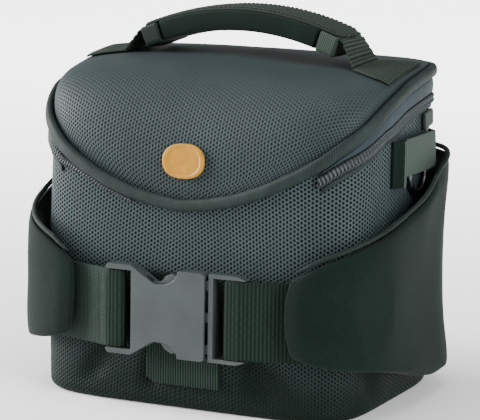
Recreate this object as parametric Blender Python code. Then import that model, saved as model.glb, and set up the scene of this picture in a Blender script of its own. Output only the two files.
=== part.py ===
# Bicycle handlebar bag: a soft box that tapers to its base, a domed lid with a zip under its
# bound edge, a padded carry handle, and a padded hip belt closed by a buckle across the front.
# Units are metres, +Z is up, the front faces -Y and the origin is under the middle of the base.
# Places on the wall are given by a share of the half girth (0 at the front, 1 at the back,
# negative on the left), a height, and a distance out from the wall.

import math

import bmesh
import bpy
import numpy as np
from mathutils import Vector
from mathutils.bvhtree import BVHTree

# Body
BASE_WIDTH = 0.2170
BASE_DEPTH = 0.1540
RIM_WIDTH = 0.2220             # across the bag at the back rim's height
RIM_DEPTH = 0.1350
BELLY = 0.0015                 # how far the walls swell half way up
BASE_ROUNDNESS = 5.4           # superellipse exponents of the plan: front at the base and rim, back
RIM_ROUNDNESS = 3.9
BACK_ROUNDNESS = 5.4
BASE_EDGE_RADIUS = 0.006
BODY_WALL = 0.0025
STATIONS = 30                  # sections round each half of the bag

# Lid
FRONT_RIM_HEIGHT = 0.1258      # lowest point of the lid's edge, at the front
BACK_RIM_HEIGHT = 0.2005
CREST_HEIGHT = 0.2085
CREST_SETBACK = 0.022          # crest behind the middle of the base
LID_SKIRT = 0.0035             # upright edge of the lid, behind its binding
LID_WALL = 0.0025
LID_DIP = 0.0035               # how far the soft lid sinks on its right side
DOME_ROUNDNESS = 2.7
BINDING_ROUNDNESS = 2.4
SEAM_GAP = 0.0006              # between the rims of body and lid
FIT_GAP = 0.0003               # between pieces that touch

# Lid edge: share of the half girth, rise from the front rim to the back rim
RIM_RISE = (
    (0.000, 0.000),
    (0.050, 0.022),
    (0.100, 0.064),
    (0.160, 0.150),
    (0.215, 0.262),
    (0.267, 0.400),
    (0.313, 0.560),
    (0.403, 0.810),
    (0.533, 0.945),
    (0.640, 1.000),
    (1.000, 1.000),
)

# Edge binding and zip, measured square to the lid's edge
BINDING_WIDTH = 0.0074
BINDING_THICKNESS = 0.0052
BAND_WIDTH = 0.0098
BAND_THICKNESS = 0.0026
COIL_WIDTH = 0.0060
COIL_THICKNESS = 0.0030
TAPE_WIDTH = 0.0025
TAPE_THICKNESS = 0.0012
ZIP_STOP_SHARE = 0.80          # share of the half girth where the zip ends
BAND_START_SHARE = 0.27        # share where the band starts to show
BAND_FULL_SHARE = 0.42         # share where the band has its full width
COIL_START_SHARE_LEFT = 0.11
COIL_START_SHARE_RIGHT = 0.262
COIL_DROP_SHARE = 0.03         # share over which the coil drops to clear the band's tip
ZIP_END_SIZE = (0.016, 0.010, 0.0030)
ZIP_END_SHARE = 0.610

# Badge
BADGE_SIZE = (0.028, 0.021)
BADGE_THICKNESS = 0.0022
BADGE_RISE = 0.0262            # badge's middle above the front rim
BADGE_ROUNDNESS = 2.3

# Badge from the middle of its back to the middle of its face: share of its thickness, of its size
BADGE_PROFILE = ((0.0, 0.4), (0.0, 0.75), (0.0, 1.0), (0.7, 1.0), (1.0, 0.86), (1.0, 0.45))

# Handle
HANDLE_SETBACK = 0.0160        # handle's centre line behind the middle of the base
STRAP_WIDTH = 0.030
STRAP_THICKNESS = 0.0018
STRAP_TOP = 0.2362             # top face of the strap at mid span
STRAP_DROP = 0.0150            # fall of the arch at its ends
ARCH_REACH = 0.071             # half span of the arch
ARCH_SHARPNESS = 2.03
FOOT_REACH = 0.081             # where the strap meets the lid
STRAP_REACH = 0.1080           # half length over all
LID_LIFT = 0.0006
GRIP_REACH = 0.0565
GRIP_HEIGHT = 0.0125
GRIP_WALL = 0.0024
CAP_REACH = 0.0625
CAP_WIDTH = 0.032
CAP_TONGUE = 0.0075            # rounded end of the cap past its full width
CAP_THICKNESS = 0.0018
CAP_CROWN = 0.0012
GRIP_TAPE_WIDTH = 0.0115
GRIP_TAPE_THICKNESS = 0.0012

# Hip belt wings
WING_THICKNESS = 0.0085
WING_START_SHARE_LEFT = 0.202  # shares of the half girth at the wings' ends
WING_START_SHARE_RIGHT = 0.214
WING_END_SHARE = 0.780
WING_FRONT_TOP = 0.090
WING_BACK_TOP = 0.150
WING_FRONT_BOTTOM = 0.041
WING_BACK_BOTTOM = 0.012
WING_FRONT_GAP = 0.0065        # room for the webbing under the front end
WING_FLARE_LEFT = 0.0060       # how far the long edges stand out past the wing's middle
WING_FLARE_RIGHT = 0.0075
WING_END_LENGTH = 0.010
PIPING_RADIUS = 0.0019

# Wing: along it from front to back, rise of the top edge, fall of the bottom edge, flare
WING_SHAPE = (
    (0.00, 0.00, 0.00, 0.00),
    (0.10, 0.15, 0.16, 0.04),
    (0.22, 0.32, 0.31, 0.15),
    (0.37, 0.50, 0.57, 0.55),
    (0.52, 0.66, 0.85, 1.00),
    (0.65, 0.87, 0.98, 1.00),
    (0.80, 0.97, 1.00, 0.60),
    (1.00, 1.00, 1.00, 0.00),
)

# Belt webbing and buckle, in a frame that leans with the front wall
BELT_HEIGHT = 0.0610
WEBBING_WIDTH = 0.048
WEBBING_THICKNESS = 0.0016
WEBBING_HIDDEN_REACH = 0.088   # how far the webbing runs on under a wing
BUCKLE_GAP = 0.0042            # from the wall to the buckle's back
BUCKLE_THICKNESS = 0.0094
PLATE_LEFT = -0.028
PLATE_RIGHT = 0.022
PLATE_HALF_HEIGHT = 0.0268
ARM_HALF_HEIGHT = 0.0276
FEMALE_LEFT = -0.0455
MALE_LEFT = 0.0242
MALE_RIGHT = 0.0485
BUCKLE_RAIL = 0.0031           # height of the rails above and below the webbing
BUCKLE_CORNER = 0.0015
BAR_WIDTH = 0.0080
BAR_THICKNESS = 0.0040
BAR_STEPS = 5                  # flats round each edge of a bar
FEMALE_BAR_RIGHT = -0.0355
MALE_BAR_LEFT = 0.0355
MALE_POST = 0.0030
MALE_THICKNESS = 0.0064
SCALLOP_DEPTH = 0.0092
SOCKET_HALF_HEIGHT = 0.0232
SOCKET_THICKNESS = 0.0050
SOCKET_DEPTH = 0.0430
PRONG_THICKNESS = 0.0043
PRONG_HEIGHT = 0.0058
PRONG_TIP = -0.0150
PRONG_BULGE = 0.0245           # how far the prong's head reaches from the middle

# Loop patch under the buckle
PATCH_LEFT = -0.0225
PATCH_RIGHT = 0.0265
PATCH_BOTTOM = 0.0155
PATCH_TOP = 0.0775
PATCH_THICKNESS = 0.0030
PATCH_EDGE = 0.0020

# Side tabs and rings
TAB_START_SHARE = 0.433        # shares of the half girth
TAB_END_SHARE = 0.627
TAB_BOTTOM = 0.1420
TAB_TOP = 0.1650
TAB_THICKNESS = 0.0022
TAB_LIFT = 0.0046              # room under the tab for the ring
TAB_RAMP = 0.0070              # length over which the tab rises to clear the ring
RING_WIRE_RADIUS = 0.0017
RING_HALF_WIDTH = 0.0135
RING_STRAIGHT = 0.0045
RING_CORNER = 0.0020
RING_SHARE = 0.548
RING_HEIGHT = 0.1450

# Back plate
PLATE_WIDTH = 0.090
PLATE_HEIGHT = 0.060
PLATE_THICKNESS = 0.0060
PLATE_MIDDLE = 0.146
PLATE_CORNER = 0.008


def smooth(table, column, at):
    """Value of a table's column at a place in its first column, on a curve through its rows."""
    x = [row[0] for row in table]
    y = [row[column] for row in table]
    if at <= x[0]:
        return y[0]
    if at >= x[-1]:
        return y[-1]
    i = max(k for k in range(len(x) - 1) if x[k] <= at)
    chord = [(y[k + 1] - y[k]) / (x[k + 1] - x[k]) for k in range(len(x) - 1)]

    def slope(k):
        if k in (0, len(x) - 1) or chord[k - 1] * chord[k] <= 0:
            return 0.0
        return 2 * chord[k - 1] * chord[k] / (chord[k - 1] + chord[k])

    step = x[i + 1] - x[i]
    t = (at - x[i]) / step
    return (y[i] * (1 + 2 * t) * (1 - t) ** 2 + y[i + 1] * t * t * (3 - 2 * t)
            + step * t * (1 - t) * (slope(i) * (1 - t) - slope(i + 1) * t))


def front_roundness(rise):
    return BASE_ROUNDNESS + (RIM_ROUNDNESS - BASE_ROUNDNESS) * rise


def plan_unit(turn, rise):
    """Point of the plan outline for a unit half width and half depth; turn 0 is the right side."""
    roundness = front_roundness(rise) if math.sin(turn) < 0 else BACK_ROUNDNESS
    c, s = math.cos(turn), math.sin(turn)
    return (math.copysign(abs(c) ** (2 / roundness), c),
            math.copysign(abs(s) ** (2 / roundness), s))


def half_size(base, rim, z):
    """Half width or half depth of the bag at a height."""
    rise = z / BACK_RIM_HEIGHT
    return base / 2 + (rim - base) / 2 * rise + BELLY * math.sin(math.pi * min(max(rise, 0), 1))


def measure_turns():
    """Turns at equal steps of the girth half way up, from the front to the back by the right."""
    turns = np.linspace(-math.pi / 2, math.pi / 2, 721)
    points = np.array([plan_unit(t, 0.5) for t in turns])
    points[:, 0] *= (BASE_WIDTH + RIM_WIDTH) / 4
    points[:, 1] *= (BASE_DEPTH + RIM_DEPTH) / 4
    girth = np.concatenate([[0], np.cumsum(np.hypot(*np.diff(points, axis=0).T))])
    at = np.interp(np.linspace(0, girth[-1], STATIONS + 1), girth, turns)
    return [float(t) for t in at], float(girth[-1])


TURNS, HALF_GIRTH = measure_turns()
ROUND = 2 * STATIONS


def outline_corner(i, z):
    """Corner i of the bag's outline at height z; corners past the back are on the left."""
    i %= ROUND
    x, y = plan_unit(TURNS[min(i, ROUND - i)], z / BACK_RIM_HEIGHT)
    if i in (0, STATIONS):
        x = 0.0
    width, depth = half_size(BASE_WIDTH, RIM_WIDTH, z), half_size(BASE_DEPTH, RIM_DEPTH, z)
    return Vector((x * width if i < STATIONS else -x * width, y * depth))


def wall_corner(i, z, out=0.0):
    """Corner i of the bag's outline at height z, moved out square to the wall."""
    before, here, after = (outline_corner(k, z) for k in (i - 1, i, i + 1))
    first, second = (here - before).normalized(), (after - here).normalized()
    normal = Vector((first.y + second.y, -first.x - second.x)).normalized()
    reach = out / max(normal.dot(Vector((first.y, -first.x))), 0.5)
    return Vector((here.x + normal.x * reach, here.y + normal.y * reach, z))


def wall_point(share, z, out=0.0):
    """Point on the wall at a share of the half girth, straight between two corners."""
    place = share * STATIONS
    i = math.floor(place)
    return wall_corner(i, z, out).lerp(wall_corner(i + 1, z, out), place - i)


def front_point(x, z, out=0.0):
    """Point on the front wall at a distance across the bag."""
    power = front_roundness(z / BACK_RIM_HEIGHT)
    width, depth = half_size(BASE_WIDTH, RIM_WIDTH, z), half_size(BASE_DEPTH, RIM_DEPTH, z)
    y = (1 - (abs(x) / width) ** power) ** (1 / power)
    normal = Vector((math.copysign((abs(x) / width) ** (power - 1) / width, x),
                     -y ** (power - 1) / depth)).normalized()
    return Vector((x + normal.x * out, normal.y * out - y * depth, z))


def rim_height(share):
    """Height of the lid's edge."""
    rise = smooth(RIM_RISE, 1, abs((share + 1) % 2 - 1))
    return FRONT_RIM_HEIGHT + rise * (BACK_RIM_HEIGHT - FRONT_RIM_HEIGHT)


def below_rim(share, distance):
    """Height of a line on the wall that runs a distance below the lid's edge, square to it."""
    step = 0.02
    run = 2 * step * HALF_GIRTH
    slope = (rim_height(share + step) - rim_height(share - step)) / run
    return rim_height(share) - distance * math.hypot(1, slope)


def shares_between(start, end):
    """Shares from start to end, with every corner of the outline between them."""
    low, high = min(start, end), max(start, end)
    inner = [i / STATIONS for i in range(math.floor(low * STATIONS), math.ceil(high * STATIONS) + 1)]
    margin = 0.1 / STATIONS
    shares = [low] + [s for s in inner if low + margin < s < high - margin] + [high]
    return shares if start < end else shares[::-1]


def make_material(name, colour, roughness, metallic=0.0):
    material = bpy.data.materials.new(name)
    material.use_nodes = True
    shader = material.node_tree.nodes["Principled BSDF"]
    shader.inputs["Base Color"].default_value = (*colour, 1.0)
    shader.inputs["Roughness"].default_value = roughness
    shader.inputs["Metallic"].default_value = metallic
    material.diffuse_color = (*colour, 1.0)
    return material


def add_object(name, bm, material, smooth_angle=40):
    """One named object from a closed bmesh, its faces turned outwards."""
    bmesh.ops.recalc_face_normals(bm, faces=bm.faces)
    mesh = bpy.data.meshes.new(name)
    bm.to_mesh(mesh)
    bm.free()
    mesh.shade_smooth()
    mesh.set_sharp_from_angle(angle=math.radians(smooth_angle))
    mesh.materials.append(material)
    thing = bpy.data.objects.new(name, mesh)
    bpy.context.scene.collection.objects.link(thing)
    return thing


def add_loop(bm, points):
    """A closed loop of edges through the points."""
    verts = [bm.verts.new(p) for p in points]
    return [bm.edges.new((verts[k - 1], verts[k])) for k in range(len(verts))]


def loft(sections, closed=False):
    """A skin through closed sections, either capped at both ends or joined end to end."""
    bm = bmesh.new()
    loops = [add_loop(bm, section) for section in sections]
    pairs = list(zip(loops, loops[1:])) + ([(loops[-1], loops[0])] if closed else [])
    for first, second in pairs:
        bmesh.ops.bridge_loops(bm, edges=first + second)
    if not closed:
        for loop in (loops[0], loops[-1]):
            bmesh.ops.edgeloop_fill(bm, edges=loop)
    return bm


def extrude_outline(outline, low, high, place):
    """A plate: an outline in (x, h), filled and extruded between two distances out."""
    bm = bmesh.new()
    edges = add_loop(bm, [Vector((x, low, h)) for x, h in outline])
    filled = bmesh.ops.triangle_fill(bm, use_beauty=True, use_dissolve=False, edges=edges)
    faces = [g for g in filled["geom"] if isinstance(g, bmesh.types.BMFace)]
    pushed = bmesh.ops.extrude_face_region(bm, geom=faces, use_keep_orig=True)
    for vert in [g for g in pushed["geom"] if isinstance(g, bmesh.types.BMVert)]:
        vert.co.y = high
    for vert in bm.verts:
        vert.co = place(*vert.co)
    return bm


def solidify(thing, thickness):
    """Gives an open skin its wall, inwards."""
    wall = thing.modifiers.new("wall", "SOLIDIFY")
    wall.thickness = thickness
    wall.offset = -1
    wall.use_even_offset = True
    wall.use_rim = True


def make_body_shell(material):
    """The hollow box: a flat base with a rounded edge, and walls up to the lid's edge."""
    rows = []
    for k in range(3):
        angle = math.pi / 6 * k
        inset = BASE_EDGE_RADIUS * (1 - math.sin(angle))
        z = BASE_EDGE_RADIUS * (1 - math.cos(angle))
        rows.append([wall_corner(i, z, -inset) for i in range(ROUND)])
    for share in (0.0, 0.22, 0.45, 0.72, 1.0):
        row = []
        for i in range(ROUND):
            top = rim_height(i / STATIONS) - SEAM_GAP
            z = BASE_EDGE_RADIUS + share * (top - BASE_EDGE_RADIUS)
            row.append(wall_corner(i, z))
        rows.append(row)
    bm = bmesh.new()
    loops = [add_loop(bm, row) for row in rows]
    for first, second in zip(loops, loops[1:]):
        bmesh.ops.bridge_loops(bm, edges=first + second)
    bmesh.ops.edgeloop_fill(bm, edges=loops[0])
    shell = add_object("body_shell", bm, material)
    solidify(shell, BODY_WALL)
    return shell


def dome_point(i, angle):
    """Point of the lid over corner i; angle 0 is the crest and a right angle is the edge."""
    edge = wall_corner(i, rim_height(i / STATIONS) + LID_SKIRT)
    across = math.sin(angle) ** (2 / DOME_ROUNDNESS)
    down = 1 - math.cos(angle) ** (2 / DOME_ROUNDNESS) if angle < math.pi / 2 else 1.0
    dip = LID_DIP * max(edge.x, 0.0) / (RIM_WIDTH / 2) * math.sin(math.pi * across)
    return Vector((edge.x * across,
                   CREST_SETBACK + (edge.y - CREST_SETBACK) * across,
                   CREST_HEIGHT - (CREST_HEIGHT - edge.z) * down - dip))


def make_lid(material):
    """The domed lid, whose front hangs down as a tongue; returns it with its outer surface."""
    angles = [math.radians(a) for a in (90, 74, 58, 43, 29, 16, 5)]
    bm = bmesh.new()
    rows = [[wall_corner(i, rim_height(i / STATIONS)) for i in range(ROUND)]]
    rows += [[dome_point(i, a) for i in range(ROUND)] for a in angles]
    loops = [add_loop(bm, row) for row in rows]
    for first, second in zip(loops, loops[1:]):
        bmesh.ops.bridge_loops(bm, edges=first + second)
    bmesh.ops.edgeloop_fill(bm, edges=loops[-1])
    surface = BVHTree.FromBMesh(bm)
    lid = add_object("lid", bm, material)
    solidify(lid, LID_WALL)
    return lid, surface


def oval(count, half_a, half_b, roundness=2.0):
    """Points round an oval that squares up as roundness grows."""
    points = []
    for k in range(count):
        angle = 2 * math.pi * (k + 0.5) / count
        c, s = math.cos(angle), math.sin(angle)
        points.append((half_a * math.copysign(abs(c) ** (2 / roundness), c),
                       half_b * math.copysign(abs(s) ** (2 / roundness), s)))
    return points


def make_lid_binding(material):
    """The rolled binding that covers the seam all round the lid's edge."""
    ring = oval(8, BINDING_WIDTH / 2, BINDING_THICKNESS / 2, BINDING_ROUNDNESS)
    middle = FIT_GAP + BINDING_THICKNESS / 2
    sections = []
    for i in range(ROUND):
        share = i / STATIONS
        sections.append([wall_corner(i, below_rim(share, -across), middle + out)
                         for across, out in ring])
    return add_object("lid_binding", loft(sections, closed=True), material)


def wall_strip(name, start, end, centre, width, thickness, material, sides=8, roundness=3.0):
    """A strip on the wall; centre and width give its place below the rim at each share."""
    low, high = sorted((abs(start), abs(end)))
    shares = set(shares_between(low, high))
    if low < BAND_START_SHARE < high:
        shares.add(BAND_START_SHARE)
    sections = []
    for place in sorted(shares):
        share = math.copysign(place, start)
        ring = oval(sides, width(share) / 2, thickness / 2, roundness)
        sections.append([wall_point(share, below_rim(share, centre(share) - across),
                                    FIT_GAP + thickness / 2 + out) for across, out in ring])
    return add_object(name, loft(sections), material)


def band_width(share):
    """Width of the zip band, which narrows to nothing where it runs under the binding."""
    spread = (abs(share) - BAND_START_SHARE) / (BAND_FULL_SHARE - BAND_START_SHARE)
    return BAND_WIDTH * min(max(spread, 0.12), 1.0)


def band_centre(share):
    return BINDING_WIDTH / 2 + FIT_GAP + band_width(share) / 2


def coil_centre(share):
    clear = min(max(1 - (BAND_START_SHARE - abs(share)) / COIL_DROP_SHARE, 0), 1)
    return BINDING_WIDTH / 2 + (FIT_GAP + band_width(share)) * clear + FIT_GAP + COIL_WIDTH / 2


def tape_centre(share):
    return coil_centre(share) + (COIL_WIDTH + TAPE_WIDTH) / 2 + FIT_GAP


def make_zip(side, coil_start, fabric, coil, webbing):
    """Band, coil, lower tape and folded end of the zip on one side (-1 left, 1 right)."""
    word = "right" if side > 0 else "left"
    end = side * ZIP_STOP_SHARE
    wall_strip("zip_band_" + word, side * BAND_START_SHARE, end, band_centre, band_width,
               BAND_THICKNESS, fabric)
    wall_strip("zip_coil_" + word, side * coil_start, end, coil_centre, lambda s: COIL_WIDTH,
               COIL_THICKNESS, coil, 6, 2.0)
    wall_strip("zip_tape_" + word, side * BAND_START_SHARE, end, tape_centre, lambda s: TAPE_WIDTH,
               TAPE_THICKNESS, fabric, 4, 6.0)
    length, height, thickness = ZIP_END_SIZE
    middle = tape_centre(ZIP_END_SHARE) + TAPE_WIDTH / 2 + FIT_GAP + height / 2
    reach = length / 2 / HALF_GIRTH
    wall_strip("zip_end_" + word, side * (ZIP_END_SHARE - reach), side * (ZIP_END_SHARE + reach),
               lambda s: middle, lambda s: height, thickness, webbing, 8, 5.0)


def drape(surface, x, y, lift):
    """Point above (x, y) at a height over the lid."""
    hit = surface.ray_cast(Vector((x, y, 1.0)), Vector((0, 0, -1)))[0]
    return Vector((x, y, hit.z + lift))


def make_badge(surface, material):
    """A plain oval badge that follows the lid's front."""
    half_a, half_b = BADGE_SIZE[0] / 2, BADGE_SIZE[1] / 2
    middle = FRONT_RIM_HEIGHT + BADGE_RISE
    back = Vector((0, 1, 0))
    out = surface.ray_cast(Vector((0, -1.0, middle)), back)[1]
    if out.y > 0:
        out = -out
    sections = []
    for depth, size in BADGE_PROFILE:
        row = []
        for x, h in oval(24, half_a * size, half_b * size, BADGE_ROUNDNESS):
            hit = surface.ray_cast(Vector((x, -1.0, middle + h)), back)[0]
            row.append(hit + out * (LID_LIFT + depth * BADGE_THICKNESS))
        sections.append(row)
    return add_object("lid_badge", loft(sections), material)


def arch(x):
    """Height of the strap's middle layer over the lid at x, on the arched part."""
    fall = STRAP_DROP * (abs(x) / ARCH_REACH) ** ARCH_SHARPNESS
    return STRAP_TOP - STRAP_THICKNESS / 2 - fall


def arch_normal(x):
    """Direction square to the arch at x."""
    step = 0.0005
    return Vector((arch(x - step) - arch(x + step), 0, 2 * step)).normalized()


def arch_section(x, ring):
    """Section of a piece on the arched part; ring holds (y, height over the strap's middle)."""
    centre = Vector((x, HANDLE_SETBACK, arch(x)))
    return [centre + Vector((0, y, 0)) + arch_normal(x) * h for y, h in ring]


def arch_sections(start, end, count, ring):
    return [arch_section(start + (end - start) * k / count, ring) for k in range(count + 1)]


def make_handle_strap(surface, material):
    """The webbing of the handle: flat on the lid at both ends, arched between them."""
    flat = [-FOOT_REACH - (STRAP_REACH - FOOT_REACH) * part for part in (1.0, 0.8, 0.55, 0.28, 0.0)]
    arched = [ARCH_REACH * k / 9 for k in range(-9, 10)]
    across = [STRAP_WIDTH * (k / 6 - 0.5) for k in range(7)]
    half = Vector((0, 0, STRAP_THICKNESS / 2))
    sections = []
    for x in flat + arched + [-x for x in reversed(flat)]:
        if abs(x) > ARCH_REACH + FIT_GAP:
            middle = [drape(surface, x, HANDLE_SETBACK + y, LID_LIFT + STRAP_THICKNESS / 2) for y in across]
            up = half
        else:
            middle = [Vector((x, HANDLE_SETBACK + y, arch(x))) for y in across]
            up = arch_normal(x) * STRAP_THICKNESS / 2
        sections.append([p - up for p in middle] + [p + up for p in reversed(middle)])
    return add_object("handle_strap", loft(sections), material)


def make_handle_grip(material):
    """The padded grip: a sleeve under the strap with a lip up each of its edges."""
    inner = STRAP_WIDTH / 2 + FIT_GAP
    outer = inner + GRIP_WALL
    floor = -STRAP_THICKNESS / 2 - FIT_GAP
    top = STRAP_THICKNESS / 2
    bottom = top - GRIP_HEIGHT
    bend = GRIP_WALL
    ring = [(-inner, floor), (-inner, top), (-outer, top), (-outer, bottom + bend),
            (-outer + bend, bottom), (0, bottom - bend / 3), (outer - bend, bottom),
            (outer, bottom + bend), (outer, top), (inner, top), (inner, floor)]
    return add_object("handle_grip", loft(arch_sections(-GRIP_REACH, GRIP_REACH, 14, ring)), material)


def cap_ring(width):
    """Section of the cap, crowned in the middle, at a width."""
    low = STRAP_THICKNESS / 2 + FIT_GAP
    high = low + CAP_THICKNESS
    half = width / 2
    return [(-half, low), (-half, low + CAP_THICKNESS * 0.5), (-half * 0.94, high),
            (-half * 0.4, high + CAP_CROWN * 0.85), (0, high + CAP_CROWN),
            (half * 0.4, high + CAP_CROWN * 0.85), (half * 0.94, high),
            (half, low + CAP_THICKNESS * 0.5), (half, low)]


def make_handle_cap(material):
    """The webbing stitched on top of the grip, with rounded tongues at its ends."""
    tongue = [(CAP_REACH + CAP_TONGUE * math.sin(a), CAP_WIDTH * max(math.cos(a), 0.3))
              for a in (math.radians(d) for d in (30, 55, 75, 90))]
    sections = [arch_section(-x, cap_ring(width)) for x, width in reversed(tongue)]
    sections += arch_sections(-CAP_REACH, CAP_REACH, 18, cap_ring(CAP_WIDTH))
    sections += [arch_section(x, cap_ring(width)) for x, width in tongue]
    return add_object("handle_cap", loft(sections), material)


def make_grip_tape(side, material):
    """The tape round one end of the grip."""
    inner = STRAP_WIDTH / 2 + FIT_GAP + GRIP_WALL * 0.2
    outer = inner + GRIP_TAPE_THICKNESS + GRIP_WALL * 0.8
    top = STRAP_THICKNESS / 2
    floor = -STRAP_THICKNESS / 2 - FIT_GAP
    bottom = top - GRIP_HEIGHT - GRIP_TAPE_THICKNESS * 0.4
    ring = [(-inner, floor), (-inner, top), (-outer, top), (-outer, bottom + GRIP_WALL),
            (-outer + GRIP_WALL, bottom), (outer - GRIP_WALL, bottom), (outer, bottom + GRIP_WALL),
            (outer, top), (inner, top), (inner, floor)]
    start = side * (GRIP_REACH + FIT_GAP)
    end = start + side * GRIP_TAPE_WIDTH
    word = "right" if side > 0 else "left"
    return add_object("grip_tape_" + word, loft(arch_sections(start, end, 3, ring)), material)


def wing_front(side):
    return WING_START_SHARE_RIGHT if side > 0 else WING_START_SHARE_LEFT


def wing_shape(side, share):
    """Top, bottom and distance from the wall of a wing at a share, and the flare of its edges."""
    front = wing_front(side)
    along = max(share - front, 0.0) / (WING_END_SHARE - front)
    top = WING_FRONT_TOP + smooth(WING_SHAPE, 1, along) * (WING_BACK_TOP - WING_FRONT_TOP)
    bottom = WING_FRONT_BOTTOM - smooth(WING_SHAPE, 2, along) * (WING_FRONT_BOTTOM - WING_BACK_BOTTOM)
    flare = (WING_FLARE_RIGHT if side > 0 else WING_FLARE_LEFT) * smooth(WING_SHAPE, 3, along)
    return top, bottom, FIT_GAP + WING_FRONT_GAP * (1 - along), flare


def wing_ring(top, bottom, depth):
    """Section of a wing, as heights above its middle and distances out from its middle layer."""
    return oval(12, (top - bottom) / 2, depth / 2, 3.2)


def make_wing(side, padding, piping):
    """A padded wing of the hip belt, from the back corner round to the front, and its piping."""
    word = "right" if side > 0 else "left"
    front = wing_front(side)
    end = WING_END_LENGTH / HALF_GIRTH
    nose = [(front, 0.45, 0.72), (front + end * 0.12, 0.75, 0.84), (front + end * 0.4, 0.95, 0.95)]
    tail = [(WING_END_SHARE - end * 0.4, 0.75, 0.95), (WING_END_SHARE, 0.40, 0.90)]
    middle = [(s, 1.0, 1.0) for s in shares_between(front + end, WING_END_SHARE - end)]
    sections = []
    for share, thick, tall in nose + middle + tail:
        top, bottom, inner, flare = wing_shape(side, share)
        centre, half = (top + bottom) / 2, (top - bottom) / 2
        depth = WING_THICKNESS * thick
        sections.append([wall_point(side * share, centre + up * tall,
                                    inner + WING_THICKNESS / 2 + flare * (up / half) ** 2 + out)
                         for up, out in wing_ring(top, bottom, depth)])
    add_object("wing_" + word, loft(sections), padding)

    sections = []
    for share in shares_between(front + end * 0.5, WING_END_SHARE - end):
        top, bottom, inner, flare = wing_shape(side, share)
        crown = max(up for up, out in wing_ring(top, bottom, WING_THICKNESS))
        out = inner + WING_THICKNESS / 2 + flare * (2 * crown / (top - bottom)) ** 2
        height = (top + bottom) / 2 + crown + PIPING_RADIUS + FIT_GAP
        sections.append([wall_point(side * share, height + up, out + across)
                         for up, across in oval(6, PIPING_RADIUS, PIPING_RADIUS)])
    add_object("wing_piping_" + word, loft(sections), piping)


def belt_frame():
    """Origin, and the three axes across, out and up of the plane that the belt lies in."""
    depth = half_size(BASE_DEPTH, RIM_DEPTH, BELT_HEIGHT)
    step = 0.001
    lean = (half_size(BASE_DEPTH, RIM_DEPTH, BELT_HEIGHT + step) - depth) / step
    up = Vector((0, -lean, 1)).normalized()
    out = Vector((0, -up.z, up.y))
    return Vector((0, -depth, BELT_HEIGHT)), out, up


BELT_ORIGIN, BELT_OUT, BELT_UP = belt_frame()


def belt_point(x, out, h):
    """Point in the belt's frame."""
    return BELT_ORIGIN + Vector((x, 0, 0)) + BELT_OUT * out + BELT_UP * h


def make_ribbon(name, path, thickness, low, high, place, material):
    """Webbing along a path of (along, out) points, between two heights."""
    points = [Vector(p) for p in path]
    sections = []
    for k, point in enumerate(points):
        before = (point - points[k - 1]).normalized() if k else None
        after = (points[k + 1] - point).normalized() if k + 1 < len(points) else None
        first, second = before or after, after or before
        normal = Vector((-first.y - second.y, first.x + second.x)).normalized()
        reach = normal * thickness / 2 / max(normal.dot(Vector((-first.y, first.x))), 0.5)
        corners = [(point + reach, low), (point + reach, high), (point - reach, high), (point - reach, low)]
        sections.append([place(p.x, p.y, h) for p, h in corners])
    return add_object(name, loft(sections), material)


def buckle_middle():
    return BUCKLE_GAP + BUCKLE_THICKNESS / 2


def under_wing(side, x):
    """Distance out, in the belt's frame, that keeps the webbing half way under a wing's end."""
    share = min((k / 2000 for k in range(800)),
                key=lambda s: abs(wall_point(s, BELT_HEIGHT).x - x))
    wall = wall_point(share, BELT_HEIGHT)
    normal = (wall_point(share, BELT_HEIGHT, 1.0) - wall).normalized()
    inner = wing_shape(side, share)[2]
    return (wall + normal * inner * 0.5 - BELT_ORIGIN).dot(BELT_OUT)


def round_the_bar(end, facing, radius):
    """Points of a half turn round the end of a buckle's bar, from its front to its back."""
    turns = [math.pi * (0.5 - k / BAR_STEPS) for k in range(BAR_STEPS + 1)]
    centre = end - facing * BAR_THICKNESS / 2
    return [(centre + facing * radius * math.cos(t), buckle_middle() + radius * math.sin(t)) for t in turns]


def belt_webbing_path(side, bar_end):
    """Path from under a wing, over the buckle's bar, round its inner end and back behind it."""
    layer = BAR_THICKNESS / 2 + FIT_GAP + WEBBING_THICKNESS / 2
    far = bar_end + side * BAR_WIDTH
    hidden = [WEBBING_HIDDEN_REACH - back for back in (0.0, 0.006, 0.012)]
    path = [(side * x, under_wing(side, x)) for x in hidden]
    path += [(far, buckle_middle() + layer)]
    path += round_the_bar(bar_end, -side, layer)
    path += [(far, buckle_middle() - layer), (far + side * 0.010, buckle_middle() - layer - 0.0008)]
    return path


def make_belt_webbing(webbing):
    """The two lengths of belt webbing, from the wings to the buckle's bars."""
    half = WEBBING_WIDTH / 2
    left = belt_webbing_path(-1, FEMALE_BAR_RIGHT)
    right = belt_webbing_path(1, MALE_BAR_LEFT)
    make_ribbon("belt_webbing_left", left, WEBBING_THICKNESS, -half, half, belt_point, webbing)
    make_ribbon("belt_webbing_right", right, WEBBING_THICKNESS, -half, half, belt_point, webbing)


def boolean(thing, other, operation):
    """Adds or cuts another object, which stays as a guide."""
    other.hide_render = True
    other.display_type = "WIRE"
    cut = thing.modifiers.new(operation.lower(), "BOOLEAN")
    cut.operation = operation
    cut.solver = "EXACT"
    cut.object = other


def add_block(name, x, out, h, material):
    """A box in the belt's frame between pairs of limits."""
    outline = [(x[0], h[0]), (x[1], h[0]), (x[1], h[1]), (x[0], h[1])]
    return add_object(name, extrude_outline(outline, out[0], out[1], belt_point), material)


def add_bar(name, left, material):
    """A buckle's bar with round edges, let into the rails at both ends."""
    ring = round_the_bar(left + BAR_WIDTH, 1, BAR_THICKNESS / 2)
    ring += [(2 * left + BAR_WIDTH - x, out) for x, out in reversed(ring)]
    half = WEBBING_WIDTH / 2 + FIT_GAP + BUCKLE_RAIL / 2
    sections = [[belt_point(x, out, h) for x, out in ring] for h in (-half, half)]
    return add_object(name, loft(sections), material)


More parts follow.
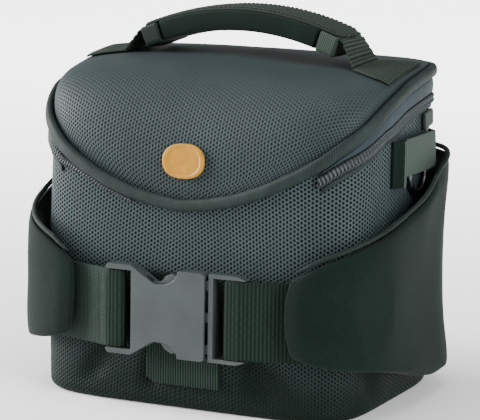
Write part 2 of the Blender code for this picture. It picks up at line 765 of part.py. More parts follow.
def scallop(side):
    """Outline of the notch in the plate's top (1) or bottom (-1) edge, from left to right."""
    half, deep = PLATE_HALF_HEIGHT, PLATE_HALF_HEIGHT - SCALLOP_DEPTH
    span = PLATE_RIGHT - PLATE_LEFT
    points = [(0.02, half), (0.29, deep + 0.0006), (0.34, deep), (0.40, deep)]
    for k in range(1, 6):
        angle = math.pi / 2 * k / 5
        points.append((0.40 + 0.24 * math.sin(angle), deep + SCALLOP_DEPTH * (1 - math.cos(angle))))
    return [(PLATE_LEFT + span * share, side * h) for share, h in points]


def make_buckle_female(plastic):
    """The buckle's socket half: a scalloped plate, two arms and the bar that the webbing is on."""
    slot = WEBBING_WIDTH / 2 + FIT_GAP
    tip = BUCKLE_CORNER
    top = [(FEMALE_LEFT + tip, ARM_HALF_HEIGHT), (PLATE_LEFT, ARM_HALF_HEIGHT)] + scallop(1)
    right = [(PLATE_RIGHT - tip, PLATE_HALF_HEIGHT), (PLATE_RIGHT, PLATE_HALF_HEIGHT - tip)]
    upper = [(FEMALE_LEFT, slot + tip)] + top + right
    outline = upper + [(x, -h) for x, h in reversed(upper)]
    outline += [(FEMALE_LEFT, -slot), (PLATE_LEFT, -slot), (PLATE_LEFT, slot), (FEMALE_LEFT, slot)]
    low, high = BUCKLE_GAP, BUCKLE_GAP + BUCKLE_THICKNESS
    body = add_object("buckle_female", extrude_outline(outline, low, high, belt_point), plastic, 30)
    middle = buckle_middle()
    bar = add_bar("female_bar", FEMALE_BAR_RIGHT - BAR_WIDTH, plastic)
    socket = add_block("female_socket", (PLATE_RIGHT - SOCKET_DEPTH, PLATE_RIGHT + 0.01),
                       (middle - SOCKET_THICKNESS / 2, middle + SOCKET_THICKNESS / 2),
                       (-SOCKET_HALF_HEIGHT, SOCKET_HALF_HEIGHT), plastic)
    boolean(body, bar, "UNION")
    boolean(body, socket, "DIFFERENCE")
    return body


def prong(side):
    """Outline of one sprung prong, from its root to its head."""
    root = MALE_LEFT + MALE_POST / 2
    outer = SOCKET_HALF_HEIGHT - FIT_GAP * 3
    inner = outer - PRONG_HEIGHT
    head = [(0.0030, outer), (0.0018, PRONG_BULGE - 0.0010), (-0.0010, PRONG_BULGE),
            (-0.0055, PRONG_BULGE - 0.0022), (-0.0085, outer - 0.0035), (PRONG_TIP, inner + 0.002),
            (PRONG_TIP, inner)]
    return [(x, side * h) for x, h in [(root, outer)] + head + [(root, inner)]]


def make_buckle_male(plastic):
    """The buckle's plug half: a frame with a bar for the webbing, two prongs and a guide."""
    middle = buckle_middle()
    slot = WEBBING_WIDTH / 2 + FIT_GAP
    edge = slot + BUCKLE_RAIL * 0.8
    outline = [(MALE_LEFT, -edge), (MALE_RIGHT - 0.006, -edge), (MALE_RIGHT, -slot - 0.0006),
               (MALE_RIGHT, -slot), (MALE_LEFT + MALE_POST, -slot), (MALE_LEFT + MALE_POST, slot),
               (MALE_RIGHT, slot), (MALE_RIGHT, slot + 0.0006), (MALE_RIGHT - 0.006, edge),
               (MALE_LEFT, edge)]
    low, high = middle - MALE_THICKNESS / 2, middle + MALE_THICKNESS / 2
    body = add_object("buckle_male", extrude_outline(outline, low, high, belt_point), plastic, 30)
    bar = add_bar("male_bar", MALE_BAR_LEFT, plastic)
    boolean(body, bar, "UNION")
    low, high = middle - PRONG_THICKNESS / 2, middle + PRONG_THICKNESS / 2
    for side, word in ((1, "upper"), (-1, "lower")):
        arm = add_object("male_prong_" + word, extrude_outline(prong(side), low, high, belt_point),
                         plastic)
        boolean(body, arm, "UNION")
    guide = add_block("male_guide", (PRONG_TIP, MALE_LEFT + MALE_POST / 2), (low, high),
                      (-PRONG_HEIGHT / 2, PRONG_HEIGHT / 2), plastic)
    boolean(body, guide, "UNION")
    return body


def make_belt_patch(webbing):
    """The webbing patch on the front wall behind the buckle."""
    sections = []
    for k in range(6):
        x = PATCH_LEFT + (PATCH_RIGHT - PATCH_LEFT) * k / 5
        ring = [(PATCH_BOTTOM, 0.0), (PATCH_BOTTOM, 0.6), (PATCH_BOTTOM + PATCH_EDGE, 1.0),
                (PATCH_TOP - PATCH_EDGE, 1.0), (PATCH_TOP, 0.6), (PATCH_TOP, 0.0)]
        sections.append([front_point(x, z, FIT_GAP + PATCH_THICKNESS * out) for z, out in ring])
    return add_object("belt_patch", loft(sections), webbing)


def make_side_tab(side, webbing, metal):
    """A webbing tab on the side, raised over the straight bar of its ring."""
    word = "right" if side > 0 else "left"
    low = FIT_GAP + TAB_THICKNESS / 2
    high = low + TAB_LIFT
    start, end = TAB_START_SHARE * HALF_GIRTH, TAB_END_SHARE * HALF_GIRTH
    ramp = [(0.0, 0.0), (0.3, 0.55), (0.8, 1.0)]
    path = [(start + TAB_RAMP * along, low + TAB_LIFT * up) for along, up in ramp]
    flat = TAB_RAMP * 1.6 / HALF_GIRTH
    path += [(s * HALF_GIRTH, high) for s in shares_between(TAB_START_SHARE + flat, TAB_END_SHARE - flat)]
    path += [(end - TAB_RAMP * along, low + TAB_LIFT * up) for along, up in reversed(ramp)]

    def place(along, out, z):
        return wall_point(side * along / HALF_GIRTH, z, out)

    make_ribbon("side_tab_" + word, path, TAB_THICKNESS, TAB_BOTTOM, TAB_TOP, place, webbing)

    half = RING_HALF_WIDTH - RING_WIRE_RADIUS
    centre = RING_SHARE * HALF_GIRTH
    line = [(RING_CORNER - half, 0.0), (half - RING_CORNER, 0.0), (half, -RING_CORNER),
            (half, -RING_STRAIGHT)]
    for k in range(1, 8):
        angle = math.pi * k / 8
        line.append((half * math.cos(angle), -RING_STRAIGHT - half * math.sin(angle)))
    line += [(-half, -RING_STRAIGHT), (-half, -RING_CORNER)]
    out = FIT_GAP + TAB_LIFT / 2
    sections = []
    for k, (along, up) in enumerate(line):
        before, after = Vector(line[k - 1]), Vector(line[(k + 1) % len(line)])
        tangent = (after - before).normalized()
        across = Vector((tangent.y, -tangent.x))
        sections.append([place(centre + along + across.x * a, out + b,
                               RING_HEIGHT + up + across.y * a)
                         for a, b in oval(6, RING_WIRE_RADIUS, RING_WIRE_RADIUS)])
    add_object("d_ring_" + word, loft(sections, closed=True), metal)


def make_back_plate(plastic):
    """The plain plate on the back where a handlebar bracket takes hold; its face is upright."""
    face = half_size(BASE_DEPTH, RIM_DEPTH, PLATE_MIDDLE + PLATE_HEIGHT / 2) + PLATE_THICKNESS
    sections = []
    for depth, size in ((0.0, 1.0), (0.75, 1.0), (1.0, 0.97)):
        row = []
        for k in range(20):
            angle = math.pi * 2 * k / 20 + math.pi / 20
            quarter = int(angle // (math.pi / 2))
            cx = (PLATE_WIDTH / 2 - PLATE_CORNER) * (1 if quarter in (0, 3) else -1)
            cz = (PLATE_HEIGHT / 2 - PLATE_CORNER) * (1 if quarter in (0, 1) else -1)
            x = (cx + PLATE_CORNER * math.cos(angle)) * size
            z = PLATE_MIDDLE + (cz + PLATE_CORNER * math.sin(angle)) * size
            inner = half_size(BASE_DEPTH, RIM_DEPTH, z) + FIT_GAP
            row.append(Vector((x, inner + (face - inner) * depth, z)))
        sections.append(row)
    return add_object("back_plate", loft(sections), plastic)


def build():
    for thing in list(bpy.data.objects):
        bpy.data.objects.remove(thing)
    nylon = make_material("ballistic_nylon", (0.055, 0.065, 0.068), 0.62)
    neoprene = make_material("neoprene", (0.020, 0.030, 0.030), 0.75)
    binding = make_material("binding_tape", (0.040, 0.052, 0.052), 0.70)
    webbing = make_material("webbing", (0.050, 0.062, 0.056), 0.80)
    coil = make_material("zip_coil", (0.10, 0.11, 0.12), 0.35)
    plastic = make_material("buckle_plastic", (0.20, 0.22, 0.22), 0.42)
    metal = make_material("ring_metal", (0.30, 0.32, 0.32), 0.30, 0.9)
    rubber = make_material("badge_rubber", (0.62, 0.40, 0.05), 0.50)

    make_body_shell(nylon)
    lid, surface = make_lid(nylon)
    make_lid_binding(binding)
    make_zip(-1, COIL_START_SHARE_LEFT, binding, coil, webbing)
    make_zip(1, COIL_START_SHARE_RIGHT, binding, coil, webbing)
    make_badge(surface, rubber)
    make_handle_strap(surface, webbing)
    make_handle_grip(neoprene)
    make_handle_cap(webbing)
    make_grip_tape(-1, binding)
    make_grip_tape(1, binding)
    make_wing(-1, neoprene, binding)
    make_wing(1, neoprene, binding)
    make_belt_webbing(webbing)
    make_buckle_female(plastic)
    make_buckle_male(plastic)
    make_belt_patch(webbing)
    make_side_tab(-1, webbing, metal)
    make_side_tab(1, webbing, metal)
    make_back_plate(plastic)


build()
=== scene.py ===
# Looks of the bicycle handlebar bag: woven nylon body and domed lid, rolled binding, coil zip,
# padded grip, padded belt wings, ribbed webbing and a moulded buckle, dressed over the CAD frame.
# Units are metres. A place on the wall is a share of the half girth (0 front, 1 back, negative
# on the left), a height, and a distance out from the wall, as in the CAD source.

import math

import bmesh
import bpy
from mathutils import Matrix, Vector, noise
from mathutils.bvhtree import BVHTree


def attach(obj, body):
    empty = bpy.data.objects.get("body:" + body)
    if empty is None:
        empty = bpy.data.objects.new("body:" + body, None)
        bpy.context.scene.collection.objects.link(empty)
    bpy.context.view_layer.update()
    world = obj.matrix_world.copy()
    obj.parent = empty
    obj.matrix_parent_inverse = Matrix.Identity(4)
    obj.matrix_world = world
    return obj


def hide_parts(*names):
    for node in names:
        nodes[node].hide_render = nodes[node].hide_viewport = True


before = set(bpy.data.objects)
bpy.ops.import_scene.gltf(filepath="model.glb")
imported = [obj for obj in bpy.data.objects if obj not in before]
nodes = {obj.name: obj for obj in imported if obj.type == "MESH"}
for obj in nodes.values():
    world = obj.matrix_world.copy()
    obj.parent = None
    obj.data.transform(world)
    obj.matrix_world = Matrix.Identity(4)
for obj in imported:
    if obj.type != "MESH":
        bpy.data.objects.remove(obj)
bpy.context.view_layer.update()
print("scene: frame loaded,", len(nodes), "nodes")

bag = {
    "baseWidth": 0.2170, "baseDepth": 0.1540, "rimWidth": 0.2220, "rimDepth": 0.1350,
    "belly": 0.0015, "baseRoundness": 5.4, "rimRoundness": 3.9, "backRoundness": 5.4,
    "baseEdge": 0.006, "wall": 0.0025, "stations": 30, "frontRim": 0.1258, "backRim": 0.2005,
    "crest": 0.2085, "crestSetback": 0.022, "lidSkirt": 0.0035, "lidDip": 0.0035,
    "domeRoundness": 2.7, "seamGap": 0.0006, "fitGap": 0.0003,
}

# lid's edge: share of the half girth, rise from the front rim to the back rim
rimRise = ((0.0, 0.0), (0.05, 0.022), (0.1, 0.064), (0.16, 0.15), (0.215, 0.262), (0.267, 0.4),
           (0.313, 0.56), (0.403, 0.81), (0.533, 0.945), (0.64, 1.0), (1.0, 1.0))


def smooth(table, column, at):
    # a table's column on a curve through its rows
    x = [row[0] for row in table]
    y = [row[column] for row in table]
    if at <= x[0]:
        return y[0]
    if at >= x[-1]:
        return y[-1]
    i = max(k for k in range(len(x) - 1) if x[k] <= at)
    chord = [(y[k + 1] - y[k]) / (x[k + 1] - x[k]) for k in range(len(x) - 1)]

    def slope(k):
        if k in (0, len(x) - 1) or chord[k - 1] * chord[k] <= 0:
            return 0.0
        return 2 * chord[k - 1] * chord[k] / (chord[k - 1] + chord[k])

    step = x[i + 1] - x[i]
    t = (at - x[i]) / step
    return (y[i] * (1 + 2 * t) * (1 - t) ** 2 + y[i + 1] * t * t * (3 - 2 * t)
            + step * t * (1 - t) * (slope(i) * (1 - t) - slope(i + 1) * t))


def ease(low, high, x):
    # 0 below low, 1 above high, smooth between
    t = min(max((x - low) / (high - low), 0.0), 1.0)
    return t * t * (3 - 2 * t)


def bump(x, centre, width):
    # a soft hump of height 1
    return math.exp(-((x - centre) / width) ** 2)


def ripple(x, y, z, size):
    # seeded unevenness from -1 to 1, for puckers
    return noise.noise(Vector((x, y, z)) / size)


# The bag's outline

def frontRoundness(rise):
    return bag["baseRoundness"] + (bag["rimRoundness"] - bag["baseRoundness"]) * rise


def planUnit(turn, rise):
    roundness = frontRoundness(rise) if math.sin(turn) < 0 else bag["backRoundness"]
    c, s = math.cos(turn), math.sin(turn)
    return (math.copysign(abs(c) ** (2 / roundness), c),
            math.copysign(abs(s) ** (2 / roundness), s))


def halfSize(base, rim, z):
    rise = z / bag["backRim"]
    belly = bag["belly"] * math.sin(math.pi * min(max(rise, 0), 1))
    return base / 2 + (rim - base) / 2 * rise + belly


def halfWidth(z):
    return halfSize(bag["baseWidth"], bag["rimWidth"], z)


def halfDepth(z):
    return halfSize(bag["baseDepth"], bag["rimDepth"], z)


def measureTurns(steps):
    # turns at equal steps of the girth half way up, from the front to the back by the right;
    # they are read closer together near the front, side and back, where the outline runs fastest
    quarter = [math.pi / 2 * ease(0, 1, ease(0, 1, k / 360)) for k in range(361)]
    turns = [a - math.pi / 2 for a in quarter] + quarter[1:]
    girth = [0.0]
    last = None
    for turn in turns:
        x, y = planUnit(turn, 0.5)
        here = Vector((x * (bag["baseWidth"] + bag["rimWidth"]) / 4,
                       y * (bag["baseDepth"] + bag["rimDepth"]) / 4))
        if last is not None:
            girth.append(girth[-1] + (here - last).length)
        last = here
    places, k = [], 0
    for step in range(steps + 1):
        want = girth[-1] * step / steps
        while k < len(turns) - 2 and girth[k + 1] < want:
            k += 1
        part = (want - girth[k]) / (girth[k + 1] - girth[k])
        places.append(turns[k] + (turns[k + 1] - turns[k]) * part)
    return places, girth[-1]


stations = bag["stations"]
fineness = 12                     # fine places between two corners of the CAD outline
fineTurns, halfGirth = measureTurns(stations * fineness)
fullRound = 2 * stations * fineness


def outlineFine(i, z):
    i %= fullRound
    half = fullRound // 2
    x, y = planUnit(fineTurns[min(i, fullRound - i)], z / bag["backRim"])
    if i in (0, half):
        x = 0.0
    return Vector((x * halfWidth(z) if i < half else -x * halfWidth(z), y * halfDepth(z)))


def wallFine(i, z, out, spread):
    before, here, after = outlineFine(i - spread, z), outlineFine(i, z), outlineFine(i + spread, z)
    run = (after - before).normalized()
    return Vector((here.x + run.y * out, here.y - run.x * out, z))


def wallPoint(share, z, out=0.0, spread=2):
    # spread: how far along the wall its direction is read, so that thick pieces turn softly
    place = share * stations * fineness
    i = math.floor(place)
    return wallFine(i, z, out, spread).lerp(wallFine(i + 1, z, out, spread), place - i)


def rimHeight(share):
    rise = smooth(rimRise, 1, abs((share + 1) % 2 - 1))
    return bag["frontRim"] + rise * (bag["backRim"] - bag["frontRim"])


def belowRim(share, distance):
    # height of a line that runs a distance below the lid's edge, square to it
    step = 0.02
    slope = (rimHeight(share + step) - rimHeight(share - step)) / (2 * step * halfGirth)
    return rimHeight(share) - distance * math.hypot(1, slope)


def frontPoint(x, z, out=0.0):
    power = frontRoundness(z / bag["backRim"])
    y = (1 - (abs(x) / halfWidth(z)) ** power) ** (1 / power)
    normal = Vector((math.copysign((abs(x) / halfWidth(z)) ** (power - 1) / halfWidth(z), x),
                     -y ** (power - 1) / halfDepth(z))).normalized()
    return Vector((x + normal.x * out, normal.y * out - y * halfDepth(z), z))


# Meshes

def addPiece(name, bm, material, replaced=(), sharp=None):
    mesh = bpy.data.meshes.new(name)
    bm.to_mesh(mesh)
    bm.free()
    mesh.shade_smooth()
    if sharp:
        mesh.set_sharp_from_angle(angle=math.radians(sharp))
    mesh.materials.append(material)
    piece = bpy.data.objects.new(name, mesh)
    bpy.context.scene.collection.objects.link(piece)
    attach(piece, "root")
    if replaced:
        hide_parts(*replaced)
    return piece


def clothGrid(across, along, place, flat, ring=False, capped=False):
    # a grid whose points go where place(u, v) says; its UV map is the cloth laid flat, in metres
    bm = bmesh.new()
    bmesh.ops.create_grid(bm, x_segments=across, y_segments=along, size=0.5)
    cloth = bm.loops.layers.uv.new("cloth")
    for face in bm.faces:
        for corner in face.loops:
            corner[cloth].uv = ((corner.vert.co.x + 0.5) * flat[0], (corner.vert.co.y + 0.5) * flat[1])
    for vert in bm.verts:
        vert.co = place(vert.co.x + 0.5, vert.co.y + 0.5)
    if ring:
        bmesh.ops.remove_doubles(bm, verts=bm.verts, dist=1e-6)
    if capped:
        bmesh.ops.holes_fill(bm, edges=[e for e in bm.edges if e.is_boundary], sides=0)
    bmesh.ops.recalc_face_normals(bm, faces=bm.faces)
    return bm


def addWall(piece):
    wall = piece.modifiers.new("wall", "SOLIDIFY")
    wall.thickness = bag["wall"]
    wall.offset = -1


def addSoftness(piece):
    soften = piece.modifiers.new("soften", "SUBSURF")
    soften.levels = 1
    soften.render_levels = 1


def oval(share, halfA, halfB, roundness=2.0):
    # a point round an oval that squares up as roundness grows
    angle = 2 * math.pi * share
    c, s = math.cos(angle), math.sin(angle)
    return (halfA * math.copysign(abs(c) ** (2 / roundness), c),
            halfB * math.copysign(abs(s) ** (2 / roundness), s))


def addStitches(name, seams, thread, material):
    # lock stitches along seams; a seam is a length, and a function of a distance along it that
    # gives a point and the way up there
    bm = bmesh.new()
    for length, place in seams:
        count = max(int(length / thread["pitch"]), 1)
        for k in range(count):
            at = (k + 0.5) * length / count
            point, up = place(at)
            run = (place(at + 1e-4)[0] - place(at - 1e-4)[0]).normalized()
            side = run.cross(up).normalized()
            turn = Matrix((run, side, side.cross(run))).transposed().to_4x4()
            size = Matrix.Diagonal((0.40 * length / count, thread["radius"], thread["radius"], 1.0))
            bmesh.ops.create_uvsphere(bm, u_segments=8, v_segments=6, radius=1.0,
                                      matrix=Matrix.Translation(point) @ turn @ size)
    return addPiece(name, bm, material)


# Materials

def hexColour(value):
    # sRGB hex to linear
    parts = [int(value[k:k + 2], 16) / 255 for k in (0, 2, 4)]
    linear = [c / 12.92 if c <= 0.04045 else ((c + 0.055) / 1.055) ** 2.4 for c in parts]
    return (*linear, 1.0)


def addNode(tree, kind, sockets=None, stops=(), **settings):
    # a node with its settings; a socket takes a value or another node's output, and a colour
    # ramp takes stops, each a place and a colour
    node = tree.nodes.new("ShaderNode" + kind)
    for name, value in settings.items():
        setattr(node, name, value)
    for name, value in (sockets or {}).items():
        if isinstance(value, bpy.types.NodeSocket):
            tree.links.new(value, node.inputs[name])
        else:
            node.inputs[name].default_value = value
    if stops:
        ramp = node.color_ramp.elements
        for element, (place, colour) in zip((ramp[0], ramp[1]), (stops[0], stops[-1])):
            element.position, element.color = place, hexColour(colour)
        for place, colour in stops[1:-1]:
            ramp.new(place).color = hexColour(colour)
    return node


def linkShader(tree, shader, outputs):
    for name, output in outputs.items():
        tree.links.new(output, shader.inputs[name])


def newMaterial(name, roughness, ior, metallic=0.0, specular=0.5, sheen=0.0):
    material = bpy.data.materials.new(name)
    material.use_nodes = True
    shader = material.node_tree.nodes["Principled BSDF"]
    shader.inputs["Roughness"].default_value = roughness
    shader.inputs["IOR"].default_value = ior
    shader.inputs["Metallic"].default_value = metallic
    shader.inputs["Sheen Weight"].default_value = sheen
    shader.inputs["Sheen Roughness"].default_value = 0.5
    shader.inputs["Specular IOR Level"].default_value = specular
    return material, material.node_tree, shader


def waveOf(tree, value, pitch, phase=0.0):
    # a sine of a coordinate with one period to each pitch
    turned = addNode(tree, "Math", {0: value, 1: 2 * math.pi / pitch, 2: phase}, operation="MULTIPLY_ADD")
    return addNode(tree, "Math", {0: turned.outputs[0]}, operation="SINE").outputs[0]


def flatMap(tree):
    # distances across and along the cloth laid flat, in metres
    uv = addNode(tree, "UVMap", uv_map="cloth")
    split = addNode(tree, "SeparateXYZ", {0: uv.outputs[0]})
    return uv.outputs[0], split.outputs[0], split.outputs[1]


def makeNylon(name, onLid):
    # ballistic nylon: thick bright yarns over and under each other, with dark hollows between
    # them in a honeycomb, 2.15 mm from column to column and 2.65 mm down a column; drawn tight
    # and flatter on top of the lid; on the body, painted shade darkens it near the base, in the folds and
    # behind the belt
    weave = {"columns": 0.0043, "rows": 0.00265, "wander": 0.0016, "relief": 0.0005}
    material, tree, shader = newMaterial(name, 0.5, 1.53, specular=0.16 if onLid else 0.10)
    uv, across, along = flatMap(tree)
    drift = addNode(tree, "TexNoise", {"Vector": uv, "Scale": 60.0, "Detail": 2.0})
    bent = addNode(tree, "Math", {0: drift.outputs[0], 1: weave["wander"], 2: across},
                   operation="MULTIPLY_ADD")
    first = waveOf(tree, bent.outputs[0], weave["columns"], math.pi / 2)
    second = waveOf(tree, along, weave["rows"], math.pi / 2)
    both = addNode(tree, "Math", {0: first, 1: second}, operation="ADD")
    hollow = addNode(tree, "Math", {0: both.outputs[0], 1: first}, operation="MULTIPLY")
    yarn = addNode(tree, "TexNoise", {"Vector": uv, "Scale": 850.0, "Detail": 2.0})
    depth = addNode(tree, "Math", {0: yarn.outputs[0], 1: 0.7, 2: hollow.outputs[0]},
                    operation="MULTIPLY_ADD")
    raised = addNode(tree, "MapRange", {"Value": depth.outputs[0], "From Min": 2.1, "From Max": 0.25},
                     interpolation_type="SMOOTHSTEP").outputs[0]
    if onLid:
        tight = addNode(tree, "MapRange", {"Value": along, "From Min": -0.115, "From Max": -0.055,
                                           "To Max": 0.8}, interpolation_type="SMOOTHSTEP")
        drawn = addNode(tree, "Mix", {"Factor": tight.outputs[0], 2: raised, 3: 0.78})
        raised = drawn.outputs[0]
    cloud = addNode(tree, "TexNoise", {"Vector": uv, "Scale": 18.0, "Detail": 3.0})
    shade = addNode(tree, "MapRange", {"Value": cloud.outputs[0], "From Min": 0.3, "From Max": 0.7,
                                       "To Min": 0.86, "To Max": 1.10})
    colour = addNode(tree, "ValToRGB", {0: raised},
                     ((0.0, "020606"), (0.55, "161E1F"), (1.0, "303C3D" if onLid else "3A4647")))
    tinted = addNode(tree, "Mix", {"Factor": 1.0}, data_type="RGBA", blend_type="MULTIPLY")
    tree.links.new(colour.outputs[0], tinted.inputs["A"])
    tree.links.new(shade.outputs[0], tinted.inputs["B"])
    cloth = tinted.outputs["Result"]
    if not onLid:
        # painted shade: the body's mask darkens the cloth towards a dark green
        shadeMask = addNode(tree, "Attribute", attribute_name="shadeMask").outputs["Fac"]
        shadedCloth = addNode(tree, "Mix", {"Factor": shadeMask, "A": cloth, "B": hexColour("05130D")},
                        data_type="RGBA")
        cloth = shadedCloth.outputs["Result"]
    gloss = addNode(tree, "MapRange", {"Value": raised, "To Min": 0.85, "To Max": 0.5})
    relief = addNode(tree, "Bump", {"Height": raised, "Distance": weave["relief"], "Strength": 0.8})
    linkShader(tree, shader, {"Base Color": cloth, "Roughness": gloss.outputs[0],
                              "Normal": relief.outputs[0]})
    return material


def makeNeoprene():
    # foam rubber faced with knitted nylon jersey: matt, soft, with a fine fleck; its stitches
    # are drawn 0.9 mm apart, coarser than real, so that they show
    material, tree, shader = newMaterial("neopreneJersey", 0.9, 1.5, specular=0.15, sheen=0.04)
    place = addNode(tree, "TexCoord").outputs["Object"]
    knit = addNode(tree, "TexVoronoi", {"Vector": place, "Scale": 1100.0}, feature="F1")
    cloud = addNode(tree, "TexNoise", {"Vector": place, "Scale": 40.0, "Detail": 3.0})
    fleck = addNode(tree, "Math", {0: cloud.outputs[0], 1: 0.9, 2: knit.outputs["Distance"]},
                    operation="MULTIPLY_ADD")
    colour = addNode(tree, "ValToRGB", {0: fleck.outputs[0]},
                     ((0.35, "091F18"), (0.7, "061A13"), (1.0, "03110C")))
    relief = addNode(tree, "Bump", {"Height": knit.outputs["Distance"], "Distance": 0.00018,
                                    "Strength": 0.5})
    linkShader(tree, shader, {"Base Color": colour.outputs[0], "Normal": relief.outputs[0]})
    return material


def makeWebbing(name, dark, light, ribPitch, relief):
    # woven nylon webbing: thick weft ribs straight across, crossed by fine warp yarns, which
    # are drawn 1.1 mm apart, coarser than real, so that they show
    material, tree, shader = newMaterial(name, 0.75, 1.53, specular=0.12)
    uv, across, along = flatMap(tree)
    ribs = waveOf(tree, along, ribPitch, -math.pi / 2)
    warp = waveOf(tree, across, 0.0011)
    half = waveOf(tree, along, ribPitch * 2)
    crossed = addNode(tree, "Math", {0: warp, 1: half}, operation="MULTIPLY")
    woven = addNode(tree, "Math", {0: crossed.outputs[0], 1: 0.35, 2: ribs}, operation="MULTIPLY_ADD")
    fibre = addNode(tree, "TexNoise", {"Vector": uv, "Scale": 700.0, "Detail": 2.0})
    height = addNode(tree, "Math", {0: fibre.outputs[0], 1: 0.7, 2: woven.outputs[0]},
                     operation="MULTIPLY_ADD")
    raised = addNode(tree, "MapRange", {"Value": height.outputs[0], "From Min": -1.0, "From Max": 1.7})
    colour = addNode(tree, "ValToRGB", {0: raised.outputs[0]}, ((0.05, dark), (0.95, light)))
    bumped = addNode(tree, "Bump", {"Height": raised.outputs[0], "Distance": relief, "Strength": 0.9})
    linkShader(tree, shader, {"Base Color": colour.outputs[0], "Normal": bumped.outputs[0]})
    return material


def makeBinding(name, dark, light):
    # grosgrain binding tape: closely ribbed, rolled over the edge, a little glossy on its crown;
    # its ribs are drawn 1.1 mm apart, coarser than real, so that they show
    material, tree, shader = newMaterial(name, 0.65, 1.53, specular=0.18)
    uv, _, along = flatMap(tree)
    ribs = waveOf(tree, along, 0.0011)
    cloud = addNode(tree, "TexNoise", {"Vector": uv, "Scale": 120.0, "Detail": 3.0})
    height = addNode(tree, "Math", {0: cloud.outputs[0], 1: 3.6, 2: ribs}, operation="MULTIPLY_ADD")
    raised = addNode(tree, "MapRange", {"Value": height.outputs[0], "From Min": 0.0, "From Max": 3.6})
    colour = addNode(tree, "ValToRGB", {0: raised.outputs[0]}, ((0.1, dark), (0.9, light)))
    bumped = addNode(tree, "Bump", {"Height": raised.outputs[0], "Distance": 0.00022, "Strength": 0.7})
    linkShader(tree, shader, {"Base Color": colour.outputs[0], "Normal": bumped.outputs[0]})
    return material


def makeThread(name, dark, light):
    # bonded nylon sewing thread: two plies laid round each other, slightly waxy
    material, tree, shader = newMaterial(name, 0.5, 1.53, specular=0.4)
    place = addNode(tree, "TexCoord").outputs["Object"]
    twist = addNode(tree, "TexWave", {"Vector": place, "Scale": 700.0, "Distortion": 1.0},
                    wave_type="BANDS", bands_direction="DIAGONAL")
    colour = addNode(tree, "ValToRGB", {0: twist.outputs["Fac"]}, ((0.1, dark), (0.9, light)))
    linkShader(tree, shader, {"Base Color": colour.outputs[0]})
    return material


def makeCoil():
    # nylon coil zip: hard glossy monofilament over a woven cord
    material, tree, shader = newMaterial("zipCoilNylon", 0.45, 1.53, specular=0.3)
    tooth = addNode(tree, "Attribute", attribute_name="tooth").outputs["Fac"]
    place = addNode(tree, "TexCoord").outputs["Object"]
    cloud = addNode(tree, "TexNoise", {"Vector": place, "Scale": 500.0, "Detail": 2.0})
    height = addNode(tree, "Math", {0: cloud.outputs[0], 1: 0.4, 2: tooth}, operation="MULTIPLY_ADD")
    colour = addNode(tree, "ValToRGB", {0: height.outputs[0]},
                     ((0.25, "010303"), (0.75, "080D0E"), (1.0, "2C3739")))
    linkShader(tree, shader, {"Base Color": colour.outputs[0]})
    return material


def makeAcetal():
    # acetal (POM) buckle, injection moulded: satin and faintly clouded from a spark-eroded mould
    material, tree, shader = newMaterial("acetalMoulded", 0.4, 1.48)
    place = addNode(tree, "TexCoord").outputs["Object"]
    grain = addNode(tree, "TexNoise", {"Vector": place, "Scale": 1400.0, "Detail": 2.0})
    cloud = addNode(tree, "TexNoise", {"Vector": place, "Scale": 45.0, "Detail": 4.0})
    colour = addNode(tree, "ValToRGB", {0: cloud.outputs[0]}, ((0.3, "2A3131"), (0.7, "343C3B")))
    gloss = addNode(tree, "MapRange", {"Value": cloud.outputs[0], "To Min": 0.34, "To Max": 0.5})
    relief = addNode(tree, "Bump", {"Height": grain.outputs[0], "Distance": 0.00006, "Strength": 0.5})
    linkShader(tree, shader, {"Base Color": colour.outputs[0], "Roughness": gloss.outputs[0],
                              "Normal": relief.outputs[0]})
    return material


def makeRingMetal():
    # steel wire with a dark nickel plating: bright glints on a nearly black ground
    material, tree, shader = newMaterial("steelDarkNickel", 0.28, 1.5, metallic=1.0)
    place = addNode(tree, "TexCoord").outputs["Object"]
    cloud = addNode(tree, "TexNoise", {"Vector": place, "Scale": 220.0, "Detail": 4.0})
    colour = addNode(tree, "ValToRGB", {0: cloud.outputs[0]}, ((0.3, "3E4345"), (0.7, "62686A")))
    gloss = addNode(tree, "MapRange", {"Value": cloud.outputs[0], "To Min": 0.2, "To Max": 0.4})
    linkShader(tree, shader, {"Base Color": colour.outputs[0], "Roughness": gloss.outputs[0]})
    return material


def makeBadgeRubber():
    # soft PVC badge: amber, satin, faintly mottled by its open mould
    material, tree, shader = newMaterial("badgePvcMoulded", 0.42, 1.53)
    place = addNode(tree, "TexCoord").outputs["Object"]
    cloud = addNode(tree, "TexNoise", {"Vector": place, "Scale": 260.0, "Detail": 3.0})
    colour = addNode(tree, "ValToRGB", {0: cloud.outputs[0]}, ((0.3, "A06C00"), (0.7, "AE7A02")))
    relief = addNode(tree, "Bump", {"Height": cloud.outputs[0], "Distance": 0.00003, "Strength": 0.3})
    linkShader(tree, shader, {"Base Color": colour.outputs[0], "Normal": relief.outputs[0]})
    return material


bodyNylon = makeNylon("ballisticNylonBody", False)
lidNylon = makeNylon("ballisticNylonLid", True)
neoprene = makeNeoprene()
beltWebbing = makeWebbing("nylonWebbingBelt", "030B07", "16291F", 0.0024, 0.0003)
doubledWebbing = makeWebbing("nylonWebbingDoubled", "0C1511", "303E37", 0.0013, 0.0002)
handleWebbing = makeWebbing("nylonWebbingHandle", "0E1511", "303A33", 0.0014, 0.0002)
tabWebbing = makeWebbing("nylonWebbingTab", "1E2622", "434F48", 0.0011, 0.0001)
patchWebbing = makeWebbing("nylonWebbingPatch", "020805", "2B3B33", 0.0017, 0.0005)
bindingTape = makeBinding("bindingTapeGrosgrain", "0B1412", "202D2A")
bandTape = makeBinding("zipBandGrosgrain", "141E22", "2A383D")
pipingTape = makeBinding("pipingTapeGrosgrain", "050E0B", "10211B")
darkThread = makeThread("threadBondedDark", "0A0F0F", "1C2425")
oliveThread = makeThread("threadBondedOlive", "16190F", "2B2D20")
zipCoil = makeCoil()
acetal = makeAcetal()
ringMetal = makeRingMetal()
badgeRubber = makeBadgeRubber()
